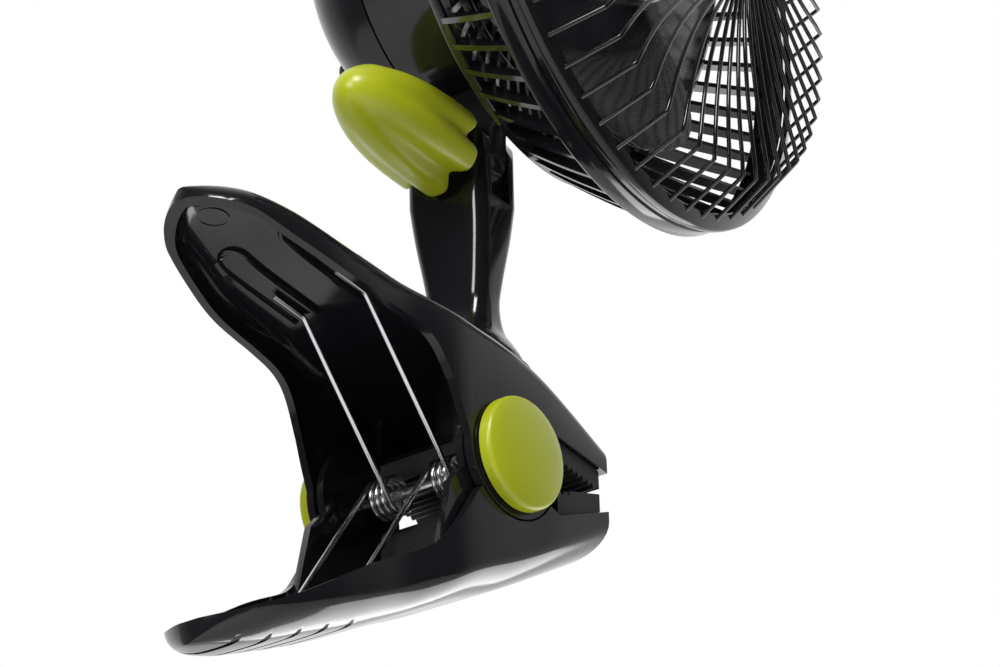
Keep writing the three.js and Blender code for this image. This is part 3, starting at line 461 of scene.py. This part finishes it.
def upper_clamp():
    shell = shape(bar(upper_back, 1, 0), cut(bar(upper_back, 1, WALL)),
                  meet(plate(UPPER_SIDE, -OUTSIDE, OUTSIDE)))
    out = OUTSIDE
    above = shape(block(-out, out, -out, out, -out, 80), cut(bar(upper_back, 1, 1)))
    boss = shape(moved(rod(19.2, 14, BOSS_Z - GAP, steps=72), UNDER_NECK), meet(above))
    post = moved(rod(9, 14.5, BOSS_Z - GAP), UNDER_NECK)
    core = plate([(8, 50), (8, upper_edge(8)), (NOSE, upper_edge(NOSE)), (NOSE, 50)], -BESIDE, BESIDE)
    end = NOSE - WALL
    hollow = plate([(4, 60), (4, upper_edge(4) + WALL), (end, upper_edge(end) + WALL), (end, 60)],
                   -JAW_HOLLOW, JAW_HOLLOW)
    jaw = shape(core, meet(bar(upper_back, 1, 1)), cut(hollow))
    steps = [add(boss), add(post), add(jaw)]
    steps += [add(form) for form in both_ends(rod(CAP_R + 0.3, EAR_IN + 1.4, CHEEK + 0.4, steps=72))]
    steps += [add(channel(upper_back, 1, y - COIL_LENGTH / 2, -66, -38)) for y in SPRING_Y]
    steps += [add(ejector_mark(x, y)) for x, y in ((-82, 3), (-50, -16))]
    ear_way = rod(EAR_R + 0.4, EAR_IN - EAR_T - GAP, EAR_IN + GAP, steps=72)
    steps += [cut(form) for form in both_ends(ear_way)]
    steps += [cut(moved(rod(7.4, 5, BOSS_Z - 8), UNDER_NECK))]
    steps += [cut(moved(rod(4.3, 5, OUTSIDE), UNDER_NECK)), cut(PIN_WAY)]
    return shape(shell, *steps)


def lower_clamp():
    shell = shape(bar(lower_back, -1, 0), cut(bar(lower_back, -1, WALL)),
                  meet(plate(LOWER_SIDE, -OUTSIDE, OUTSIDE)))
    inside = bar(lower_back, -1, 0.8)
    ear = [*arc(EAR_R - 0.3, 40, 200, steps=40), (-22, -12), (-27, -33), (-10, -33), (10, -22), (15, -10)]
    foot = [*arc(RECESS_R + 0.2, -40, -130, steps=24), (-25, -34), (-12, -32), (12, -22), (17, -16)]
    steps = []
    for low, high in ((EAR_IN - EAR_T, EAR_IN), (-EAR_IN, -EAR_IN + EAR_T)):
        steps.append(add(shape(plate(ear, low, high), meet(inside))))
    for low, high in ((EAR_IN - EAR_T, BESIDE), (-BESIDE, -EAR_IN + EAR_T)):
        steps.append(add(shape(plate(foot, low, high), meet(inside))))
    core = plate([(6, -50), (6, lower_edge(6)), (NOSE, lower_edge(NOSE)), (NOSE, -50)], -BESIDE, BESIDE)
    end = NOSE - WALL
    hollow = plate([(0, -60), (0, lower_edge(0) - WALL), (end, lower_edge(end) - WALL), (end, -60)],
                   -JAW_HOLLOW, JAW_HOLLOW)
    steps.append(add(shape(core, meet(inside), cut(hollow))))
    for y in SPRING_Y:
        foot_rim = channel(lower_back, -1, y + COIL_LENGTH / 2, -56, -34)
        steps.append(add(shape(foot_rim, meet(inside))))
    steps += [cut(PIN_WAY)] + [cut(form) for form in both_ends(rod(RECESS_R, EAR_IN, OUTSIDE, steps=72))]
    for x, bow in ((-84, 4), (-76, 5), (-68, 6), (-60, 7), (-52, 8)):
        steps.append(cut(grip_groove(x, bow)))
    return shape(shell, *steps)


def grip_groove(x, bow):
    """A shallow curved groove across the outside of the lower handle."""
    half = half_width(x) - GROOVE_INSET
    path = []
    for i in range(GROOVE_STEPS + 1):
        s = -1 + 2 * i / GROOVE_STEPS
        px = x + bow * (1 - s * s)
        past_lip = max(0, abs(s) * half - half_width(x) + GROOVE_LIP) ** 2
        path.append((px, half * s, lower_back(px) + 5 * past_lip / GROOVE_LIP**2 * 0.6))
    return tube(path, GROOVE_R, sides=8)


def spring_forms(y):
    """The coil with its upper leg, and the lower leg by itself."""
    def ray(degrees, length):
        a = math.radians(degrees)
        return Vector((math.cos(a), 0, math.sin(a))) * length

    first = UPPER_LEG + 90
    coil = []
    for i in range(COIL_STEPS + 1):
        along_pin = Vector((0, y + COIL_LENGTH * (i / COIL_STEPS - 0.5), 0))
        coil.append(ray(first + COIL_SWEEP * i / COIL_STEPS, COIL) + along_pin)
    bend = coil[0] + ray(UPPER_LEG, UPPER_REACH)
    toe = bend + ray(UPPER_LEG + 40, FOOT)
    leg = [toe] + [toe.lerp(bend, t) for t in (0.5, 0.9, 0.97)]
    leg += [bend.lerp(coil[0], t) for t in (0.01, 0.05, 0.5)]
    low_bend = coil[-1] + ray(LOWER_LEG, LOWER_REACH)
    low_toe = low_bend + ray(LOWER_LEG - 36, FOOT)
    low = [coil[-1], coil[-1].lerp(low_bend, 0.5), coil[-1].lerp(low_bend, 0.98)]
    low += [low_bend.lerp(low_toe, 0.03), low_toe]
    return tube(leg + coil, WIRE, sides=12), tube(low, WIRE, sides=12)


piece("upper_shell", upper_clamp(), AT_PIN, "clamp", "black_gloss", ["upper_clamp"])
piece("lower_shell", lower_clamp(), AT_PIN, "lower_jaw", "black_gloss", ["lower_clamp"])
for side, y in zip(("far", "near"), SPRING_Y):
    coil, leg = spring_forms(y)
    piece(f"spring_coil_{side}", coil, AT_PIN, "clamp", "spring_steel", [f"spring_{side}"], sharp=60)
    piece(f"spring_leg_{side}", leg, AT_PIN, "lower_jaw", "spring_steel", [f"spring_{side}"], sharp=60)

PAD_HALF, TOOTH, TOOTH_HEIGHT = 23.8, 2.3, 1.5
TIP_FROM, TIP_TO = 0.4, 0.6
PAD_BACK, PAD_FRONT = 6, NOSE - 1.2


def toothed(x0, x1, face, height):
    """A row of teeth along a face, each with a flat tip."""
    points = []
    x = x0
    while x <= x1 - TOOTH * 0.5:
        tip = face(x) + height
        points += [(x, face(x)), (x + TOOTH * TIP_FROM, tip), (x + TOOTH * TIP_TO, tip)]
        x += TOOTH
    return points + [(x1, face(x1))]


def pad(side):
    """It fills its jaw: narrow between the ears, and as wide as the jaw in front of them."""
    narrow = block(-10, JAW_BACK + 0.6, -PAD_HALF, PAD_HALF, -30, 30)
    wide = shape(block(JAW_BACK + 0.5, NOSE - 1, -BESIDE, BESIDE, -30, 30), meet(bar(upper_back, 1, 1.2)))
    return shape(plate(side, -BESIDE, BESIDE), meet(shape(narrow, add(wide))))


def upper_pad():
    def face(x):
        return 9.3 - (x - PAD_BACK) * 0.205

    teeth = toothed(PAD_BACK, NOSE - 3, face, -TOOTH_HEIGHT)
    return pad([(PAD_BACK, upper_edge(PAD_BACK) - GAP), *teeth, (PAD_FRONT, face(PAD_FRONT) - 1),
                (PAD_FRONT, upper_edge(PAD_FRONT) - GAP)])


def lower_pad():
    def face(x):
        return -7.1 + (x - 5) * 0.225

    front, flat = PAD_FRONT, 25
    teeth = toothed(PAD_BACK, flat, lambda x: face(x) - TOOTH_HEIGHT, TOOTH_HEIGHT)
    return pad([(PAD_BACK, lower_edge(PAD_BACK) + GAP), *teeth, (flat + 1, face(flat + 1)),
                (front - 1, face(front - 1)), (front, face(front) - 0.8), (front, lower_edge(front) + GAP)])


piece("pad_upper", upper_pad(), AT_PIN, "clamp", "pad_rubber", ["upper_jaw_pad"])
piece("pad_lower", lower_pad(), AT_PIN, "lower_jaw", "pad_rubber", ["lower_jaw_pad"])

CAP_ROUND = 1.8
cap_back = CHEEK + 0.75
cap_rim = cap_back + 2.4
cap = lathe([(0, CHEEK + 2.8), (PIN_R + 0.5, CHEEK + 2.8), (PIN_R + 0.5, cap_back + 1.2),
             (4.1, cap_back + 1.2), (4.1, cap_back), (CAP_R - 0.3, cap_back), (CAP_R, cap_back + 0.3),
             *[(CAP_R - CAP_ROUND + r, cap_rim + z) for r, z in arc(CAP_ROUND, 0, 62, steps=8)],
             (CAP_R * 0.75, cap_rim + 2.35), (CAP_R * 0.5, cap_rim + 2.9), (CAP_R * 0.25, cap_rim + 3.25),
             (0, cap_rim + 3.4)], steps=96)
for side, form in zip(("near", "far"), both_ends(cap)):
    piece(f"cap_{side}", form, AT_PIN, "clamp", "green_plastic", [f"pivot_cap_{side}"], sharp=40)

# ---------------------------------------------------------------- neck and knob

NECK = [
    (0, 17, 17, 16.9), (3, 16.8, 16.6, 16.5), (6.5, 14.6, 12.6, 11), (12, 11.2, 8.2, 6),
    (20, 10.2, 6.4, 4.4), (28, 10.9, 6.8, 4), (42, 12.7, 8.8, 4), (53, FORK_R, FORK_HALF, 4),
    (90, FORK_R, FORK_HALF, 4),
]
ACROSS_BOLT = 30
QUARTER_STEPS = 8


def rounded_ring(z, depth, wide, r):
    """A level rectangle with rounded corners."""
    r = min(r, depth, wide)
    ring = []
    for k, (sx, sy) in enumerate(((1, 1), (-1, 1), (-1, -1), (1, -1))):
        for i in range(QUARTER_STEPS + 1):
            a = (k + i / QUARTER_STEPS) * math.pi / 2
            ring.append((sx * (wide - r) + r * math.cos(a), sy * (depth - r) + r * math.sin(a), z))
    return ring


def neck():
    rows = smooth(NECK[:-1], count=42) + [NECK[-1]]
    post = loft([rounded_ring(BOSS_Z + z, depth, wide, r) for z, depth, wide, r in rows])
    far = ACROSS_BOLT
    crown = [(y, z + TILT_Z) for y, z in arc(FORK_R, 0, 180, steps=36)]
    dome = [(-far, 0), (far, 0), (far, TILT_Z), *crown, (-far, TILT_Z)]
    along = Matrix.Translation((0, 0, TILT_Z)) @ Matrix.Rotation(math.pi / 2, 4, "Y")
    return shape(
        post, meet(slab(dome, -far, far)), add(rod(3.9, BOSS_Z - 7.6, BOSS_Z + 1, steps=32)),
        cut(block(-LUG_HALF - GAP, LUG_HALF + GAP, -far, far, TILT_Z - FORK_R - 1, TILT_Z + far)),
        cut(moved(rod(BOLT_WAY, -far, far, steps=32), along)),
        cut(moved(rod(NUT_WIDTH / math.sqrt(3), FORK_HALF - 3.4, FORK_HALF + 5, steps=6), along)),
        cut(rod(2.2, BOSS_Z - 10, BOSS_Z + 15, steps=24)))


def tilt_knob():
    """A bullet with lobes that fade out towards its tip, hollow behind."""
    around, along, base, length = 144, 46, 3, KNOB_LENGTH
    fullness, groove_depth, groove_share, groove_end, groove_rise = 2.7, 0.2, 0.82, 8, 2.8
    heights = [0, 0.25, 0.7, 1.5]
    heights += [base + (length - base) * math.sin(i / along * math.pi / 2) for i in range(along + 1)]
    rings = []
    for s in heights:
        radius = KNOB_R * math.sqrt(max(1 - (s / length) ** fullness, 0.0004))
        deep = groove_depth * max(0, 1 - s / (length * groove_share)) ** 0.7
        lip = 0.965 if s == 0 else 0.99 if s < 0.3 else 1
        ring = []
        for i in range(around):
            a = 2 * math.pi * i / around
            groove = ((1 + math.cos(KNOB_LOBES * a)) / 2) ** 2.2
            r = radius * (1 - deep * groove) * lip
            rise = groove * groove_rise * max(0, 1 - s / groove_end)
            ring.append((r * math.cos(a), r * math.sin(a), KNOB_FACE + s + rise))
        rings.append(ring)
    return shape(
        loft(rings), cut(rod(4.95, KNOB_FACE - 1, KNOB_FACE + 13)),
        cut(rod(BOLT_WAY, KNOB_FACE, KNOB_FACE + 15)),
        cut(sleeve(11, 6.6, KNOB_FACE - 1, KNOB_FACE + 9)))


piece("neck_post", neck(), AT_NECK, "neck", "black_gloss", ["neck"])
piece("knob_bullet", tilt_knob(), AT_BOLT @ TOWARDS_KNOB, "knob", "green_plastic", ["tilt_knob"], sharp=50)

# ---------------------------------------------------------------- head


def shifted(form, x, y):
    return moved(form, Matrix.Translation((x, y, 0)))


def motor_housing():
    front, inner, flat = HOUSING_FRONT - HOUSING_WALL, HOUSING_R - HOUSING_WALL, HOUSING_R - SHOULDER
    turns = [math.radians(10 * i) for i in range(1, 10)]
    low = HOUSING_FRONT - SHOULDER
    shoulder = [(flat + SHOULDER * math.sin(a), low + SHOULDER * math.cos(a)) for a in turns]
    shell = lathe([(0, HOUSING_FRONT), (flat, HOUSING_FRONT), *shoulder, (HOUSING_R, SEAM + 0.3),
                   (HOUSING_R - 0.3, SEAM), (0, SEAM)], steps=128)
    hollow = lathe([(0, front), (36, front), (41, front - 2), (inner, front - 6), (inner, SEAM - 1),
                    (0, SEAM - 1)], steps=96)
    eye = [(y, z) for z, y in arc(FORK_R - 0.6, 180, 360, steps=30)]
    lug = slab([*eye, (8, 13), (17, 15), (26, 19), (40, 19), (40, SEAM + 0.2), (21.5, SEAM + 0.2),
                (17, -12.6), (8, -13)], -LUG_HALF, LUG_HALF)
    drop = Matrix.Translation((0, -FAN_AXIS, 0))
    steps = [add(moved(lug, drop)), cut(hollow), cut(rod(8.2, front - 7, HOUSING_FRONT + 5))]
    across = Matrix.Rotation(math.pi / 2, 4, "Y")
    bolt_way = moved(rod(BOLT_WAY, -ACROSS_BOLT, ACROSS_BOLT, steps=32), across)
    return shape(shell, *steps, cut(moved(bolt_way, drop)))


def motor_cover():
    edge, back = SEAM - GAP, HOUSING_REAR
    outer = smooth([(0, back), (9, back + 0.1), (18, back + 0.6), (28.5, back + 3.6), (36.6, back + 9.8),
                    (41.6, back + 18), (HOUSING_R, edge)], count=40)
    inner = HOUSING_R - HOUSING_WALL
    rear = back + HOUSING_WALL
    behind = back - 5
    form = lathe([*outer, (inner - GAP, edge), (inner - GAP, edge + 3), (0, edge + 3)], steps=128)
    hollow = lathe([(0, rear), (17, rear + 0.6), (27, rear + 3.4), (34.6, rear + 9.4), (39.4, rear + 17),
                    (inner - 2.4, edge - 3), (inner - 2.4, edge + 4), (0, edge + 4)], steps=96)
    steps = [cut(hollow)]
    for x in (-POST_X, POST_X):
        steps.append(add(shape(shifted(rod(3.6, rear - 0.5, edge + 2.4, steps=32), x, 0), meet(form))))
        steps.append(cut(shifted(rod(2, behind, edge + 8, steps=24), x, 0)))
        steps.append(cut(shifted(rod(3.1, behind, back + 13, steps=32), x, 0)))
    vent = block(23, 31, -1.3, 1.3, behind, rear + 5)
    for i in range(VENTS):
        steps.append(cut(spun(vent, (i + 0.5) * 360 / VENTS)))
    steps.append(cut(rod(4.4, behind, rear + 5)))
    steps.append(cut(shifted(rod(3.5, behind, rear + 5, steps=32), 0, -CORD_DROP)))
    return shape(form, *steps)


def ring_form(r, z, wide, tall, steps):
    """A ring with cut corners, its inner edge at r and its back at z."""
    c = min(wide, tall) * 0.3
    out, top = r + wide, z + tall
    return lathe([(r + c, z), (out - c, z), (out, z + c), (out, top - c), (out - c, top), (r + c, top),
                  (r, top - c), (r, z + c)], steps)


def rear_guard():
    """Fins run out from the hub plate, round the drum's corner and on to the band."""
    plate_r, corner_r, back = 38, 75, RIM - 9
    forms = [lathe([(12, 21.4), (plate_r, 21.4), (plate_r + 0.4, 21.8), (plate_r + 0.4, 23.8),
                    (plate_r, 24.2), (12, 24.2)], steps=96)]
    forms.append(ring_form(46, 21.6, 2.6, 3.2, steps=120))
    forms.append(ring_form(60, 23.6, 1.4, 2.4, steps=140))
    forms.append(lathe([(corner_r - 2.4, 26), (corner_r - 0.6, 26), (corner_r + 0.6, 27),
                        (corner_r + 1.6, 30), (corner_r + 0.8, 30.4), (corner_r - 1, 28.4),
                        (corner_r - 2.4, 28)], steps=160))
    forms.append(lathe([(BAND_R - 3, back), (BAND_R - 0.6, back + 0.3), (BAND_R, back + 1),
                        (BAND_R, RIM - 2.6), (BAND_R - 0.7, RIM - 2.1), (BAND_R - 0.7, RIM - 0.7),
                        (BAND_R - 3, RIM + 1.2)], steps=180))
    outer = smooth([(plate_r - 1, 21.7), (56, 23.2), (corner_r - 3, 25.6), (corner_r + 2, 29.4),
                    (87, 42), (BAND_R - 1.2, back + 2)], count=30)
    inner = smooth([(BAND_R - 3.4, back + 3), (83.5, 43), (corner_r - 2, 31), (corner_r - 5.4, 28.6),
                    (56, 25.8), (plate_r - 1, 23.8)], count=30)
    fin = loft([[(r, -w, z) for r, z in outer + inner] for w in (0.85, 0.8, -0.8, -0.85)])
    for i in range(RIBS):
        forms.append(spun(fin, (i + 0.5) * 360 / RIBS))
    return gather(*forms)


def rib_path():
    """Up from the ring, over the bend, then inwards along a curve."""
    bend_z, bend_r = RIM + BEND_RISE, BEND_R + 1.5
    reach = math.hypot(bend_r, SWIRL_R)
    inner = DISC_R - 1
    turn = math.acos((reach**2 + inner**2 - SWIRL_R**2) / (2 * reach * inner))
    end = math.atan2(SWIRL_R, bend_r) - turn
    start = -math.pi / 2
    stop = math.atan2(inner * math.sin(end) - SWIRL_R, inner * math.cos(end) - bend_r)
    steps = 12
    path = [(RIM_R + 0.8, 0, RIM + 3), (bend_r + 0.5, 0, bend_z - 1.1), (bend_r, 0, bend_z - 0.35)]
    for i in range(1, steps + 1):
        t = i / steps
        a = start + (stop - start) * t
        z = bend_z + DISC_RISE * math.sin(t * math.pi / 2)
        path.append((bend_r + SWIRL_R * math.cos(a), SWIRL_R + SWIRL_R * math.sin(a), z))
    return path


def front_guard():
    ring = lathe([(RIM_R - 1, RIM + 2.2), (BAND_R + 0.4, RIM - 0.2), (BAND_R + 0.9, RIM + 0.3),
                  (BAND_R + 0.9, RIM + 1.7), (BAND_R + 0.4, RIM + 2.4), (RIM_R - 0.4, RIM + 4),
                  (RIM_R - 1, RIM + 3.6)], steps=180)
    eye = ring_form(DISC_R - EYE, DISC_Z - 1.3, EYE, 2.6, steps=96)
    rib = tube(rib_path(), RIB_R, sides=8)
    return gather(ring, eye, *[spun(rib, (i + 0.5) * 360 / RIBS) for i in range(RIBS)])


def centre_disc():
    """A plain domed disc in the eye of the front guard."""
    r = DISC_R - EYE - GAP
    return lathe([(0, DISC_Z - 0.6), (r, DISC_Z - 0.6), (r, DISC_Z + 0.8), (r - 0.5, DISC_Z + 1.5),
                  (r - 1.4, DISC_Z + 2), (r * 0.5, DISC_Z + 3), (0, DISC_Z + 3.4)], steps=96)


def blade():
    """Rows from the hub outwards: radius, half its width and its sweep in degrees, and its pitch."""
    rows = smooth([(HUB_R - 1.6, 46, 0, 9), (36, 49, 1, 11), (46, 51, 3, 12.6), (56, 51, 5, 13.2),
                   (65, 48, 8, 12.6), (72, 40, 10, 11), (BLADE_R, 22, 13, 7)], count=30)
    across, thick, camber = 18, 0.9, 1.8
    rings = []
    for r, half, sweep, depth in rows:
        def point(s, lift):
            a = math.radians(sweep + half * s)
            return r * math.cos(a), r * math.sin(a), BLADE_MID + depth * s + camber * (1 - s * s) + lift

        steps = [-1 + 2 * i / across for i in range(across + 1)]
        rim = [thick * (0.35 if abs(s) == 1 else 0.8 if abs(s) > 0.85 else 1) for s in steps]
        under = [point(s, -t) for s, t in zip(steps, rim)]
        over = [point(s, t) for s, t in zip(steps[::-1], rim)]
        rings.append(under + over)
    return loft(rings)


def propeller():
    back, face = BLADE_MID - 11, BLADE_MID + 10
    cup = lathe([(HUB_R - 2, back), (HUB_R, back), (HUB_R, face - 2), (HUB_R - 0.5, face - 0.6),
                 (HUB_R - 1.6, face), (0, face), (0, face - 2.4), (HUB_R - 2, face - 2.4)], steps=96)
    trimmed = shape(blade(), cut(rod(HUB_R - 1, 0, 90, steps=72)))
    return shape(cup, *[add(spun(trimmed, i * 360 / BLADES)) for i in range(BLADES)])


def hub_face():
    """The domed front of the hub."""
    back, r = BLADE_MID + 10.4, HUB_R - 0.6
    turns = [math.radians(9 * i) for i in range(1, 10)]
    dome = [(r - 14 * (1 - math.cos(a)), back + 8 * math.sin(a)) for a in turns]
    return lathe([(0, back), (r, back), *dome, (HUB_R * 0.25, back + 9), (0, back + 9.2)], steps=96)


def dial():
    """A low turned knob with a raised pointer."""
    back, tall = HOUSING_REAR - GAP, 5
    face = back - tall
    body = lathe([(0, face), (9, face), (10, face + 0.4), (10.5, face + 1.2), (11.2, back - 0.8),
                  (11.2, back), (0, back)], steps=72)
    return shape(body, add(block(-1.1, 1.1, 1.5, 10, face - 1.2, face + 1)),
                 cut(rod(4.3, back - 2.4, back + 1, steps=32)))


def gland():
    """A soft collar round the way in for a cord."""
    face = HOUSING_REAR - GAP
    form = lathe([(2.1, face + 4.6), (3.1, face + 4.6), (3.1, face), (5, face), (5, face - 1),
                  (4.6, face - 1.5), (3.9, face - 2), (3.6, face - 2.6), (2.9, face - 2.9),
                  (2.1, face - 2.9)], steps=48)
    return shifted(form, 0, -CORD_DROP)


piece("dial_knob", dial(), AT_FAN, "dial", "black_gloss", ["speed_knob"])
piece("gland_collar", gland(), AT_FAN, "head", "pad_rubber", ["cord_gland"])
piece("housing", motor_housing(), AT_FAN, "head", "black_gloss", ["motor_housing"])
piece("rear_cover", motor_cover(), AT_FAN, "head", "black_gloss", ["motor_cover"])
piece("guard_rear", rear_guard(), AT_FAN, "head", "black_gloss", ["rear_grille"], sharp=50)
piece("guard_front", front_guard(), AT_FAN, "head", "black_gloss", ["front_grille"], sharp=50)
piece("guard_disc", centre_disc(), AT_FAN, "head", "black_gloss", ["centre_disc"])
piece("propeller_blades", propeller(), AT_FAN, "propeller", "smoke_plastic", ["fan_blades"])
piece("hub_face", hub_face(), AT_FAN, "propeller", "grey_plastic", ["hub_spinner"], sharp=50)

# ---------------------------------------------------------------- camera, lamps and background

AZIMUTH, ELEVATION, ROLL = -50.68, -24.79, -1.43
DISTANCE, ACROSS, UP = 721.7, 19.39, 41.73
FOCAL = 2612.6
FRAME_WIDTH, SENSOR, CLIP_START = 1000, 36, 0.01
BRIGHT_SIDE = (0.70, 0.575, 0.42)       # towards the white backdrop
FADE_FROM, FADE_TO, DIM, FULL = -0.1, 0.8, 0.07, 1.0
WHITE = (1, 1, 1, 1)
FLOOR_Z, FLOOR_R, FLOOR_THICK = -0.45, 1.4, 0.01
FLOOR_ROUGH, FLOOR_GRAIN, FLOOR_DARK, FLOOR_PALE = 0.8, 6, 0.78, 0.84
LAMPS = [                               # name, place, target, width in metres, watts
    ("key", (-0.95, -0.55, 0.95), (0, 0, 0.08), 0.45, 15),
    ("left", (-1.1, -0.1, 0.35), (0, 0, 0.05), 0.35, 5),
    ("low", (0.5, 0.1, -0.4), (0, 0, -0.02), 0.7, 5),
]


def camera():
    az, el, roll = (math.radians(v) for v in (AZIMUTH, ELEVATION, ROLL))
    back = Vector((math.sin(az) * math.cos(el), -math.cos(az) * math.cos(el), math.sin(el)))
    right = Vector((math.cos(az), math.sin(az), 0))
    up = back.cross(right)
    cos, sin = math.cos(roll), math.sin(roll)
    right, up = cos * right + sin * up, cos * up - sin * right
    place = (PIVOT + back * DISTANCE + right * ACROSS + up * UP) * MM
    data = bpy.data.cameras.new("camera")
    data.sensor_width = SENSOR
    data.lens = FOCAL / FRAME_WIDTH * SENSOR
    data.clip_start = CLIP_START
    turn = Matrix((right, up, back)).transposed().to_4x4()
    cam = bpy.data.objects.new("camera", data)
    cam.matrix_world = Matrix.Translation(place) @ turn
    bpy.context.collection.objects.link(cam)
    bpy.context.scene.camera = cam


def lamp(name, place, target, size, power):
    data = bpy.data.lights.new(name, "AREA")
    data.shape = "RECTANGLE"
    data.size = size
    data.size_y = size
    data.energy = power
    obj = bpy.data.objects.new(name, data)
    obj.location = place
    obj.rotation_euler = (Vector(target) - Vector(place)).to_track_quat("-Z", "Y").to_euler()
    bpy.context.collection.objects.link(obj)


def world():
    """Pale light that fades away from the backdrop, which is itself plain white."""
    sky = bpy.data.worlds.new("studio")
    bpy.context.scene.world = sky
    sky.use_nodes = True
    nodes, links = sky.node_tree.nodes, sky.node_tree.links
    path = nodes.new("ShaderNodeLightPath")
    out = nodes["World Output"]
    soft = nodes["Background"]
    soft.inputs["Color"].default_value = WHITE
    place = nodes.new("ShaderNodeTexCoord")
    towards = nodes.new("ShaderNodeVectorMath")
    towards.operation = "DOT_PRODUCT"
    towards.inputs[1].default_value = BRIGHT_SIDE
    links.new(place.outputs["Generated"], towards.inputs[0])
    spread = nodes.new("ShaderNodeMapRange")
    spread.interpolation_type = "SMOOTHSTEP"
    spread.inputs["From Min"].default_value = FADE_FROM
    spread.inputs["From Max"].default_value = FADE_TO
    spread.inputs["To Min"].default_value = DIM
    spread.inputs["To Max"].default_value = FULL
    links.new(towards.outputs["Value"], spread.inputs["Value"])
    links.new(spread.outputs["Result"], soft.inputs["Strength"])
    white = nodes.new("ShaderNodeBackground")
    white.inputs["Color"].default_value = WHITE
    white.inputs["Strength"].default_value = 1
    seen = nodes.new("ShaderNodeMath")
    seen.operation = "MAXIMUM"
    links.new(path.outputs["Is Camera Ray"], seen.inputs[0])
    links.new(path.outputs["Is Transmission Ray"], seen.inputs[1])
    mix = nodes.new("ShaderNodeMixShader")
    links.new(seen.outputs["Value"], mix.inputs["Fac"])
    links.new(soft.outputs["Background"], mix.inputs[1])
    links.new(white.outputs["Background"], mix.inputs[2])
    links.new(mix.outputs["Shader"], out.inputs["Surface"])


def floor():
    """A plain pale round floor well below the clamp."""
    obj = raw("studio_floor", rod(FLOOR_R, FLOOR_Z - FLOOR_THICK, FLOOR_Z, steps=64))
    pale = bpy.data.materials.new("studio_floor")
    pale.use_nodes = True
    nodes, links = pale.node_tree.nodes, pale.node_tree.links
    shader = nodes["Principled BSDF"]
    shader.inputs["Roughness"].default_value = FLOOR_ROUGH
    grain = nodes.new("ShaderNodeTexNoise")
    grain.inputs["Scale"].default_value = FLOOR_GRAIN
    tone = nodes.new("ShaderNodeMapRange")
    tone.inputs["To Min"].default_value = FLOOR_DARK
    tone.inputs["To Max"].default_value = FLOOR_PALE
    links.new(grain.outputs["Fac"], tone.inputs["Value"])
    links.new(tone.outputs["Result"], shader.inputs["Base Color"])
    obj.data.materials.append(pale)


camera()
world()
for name, place, target, size, power in LAMPS:
    lamp(name, place, target, size, power)
floor()

bpy.context.scene.view_settings.view_transform = "Standard"
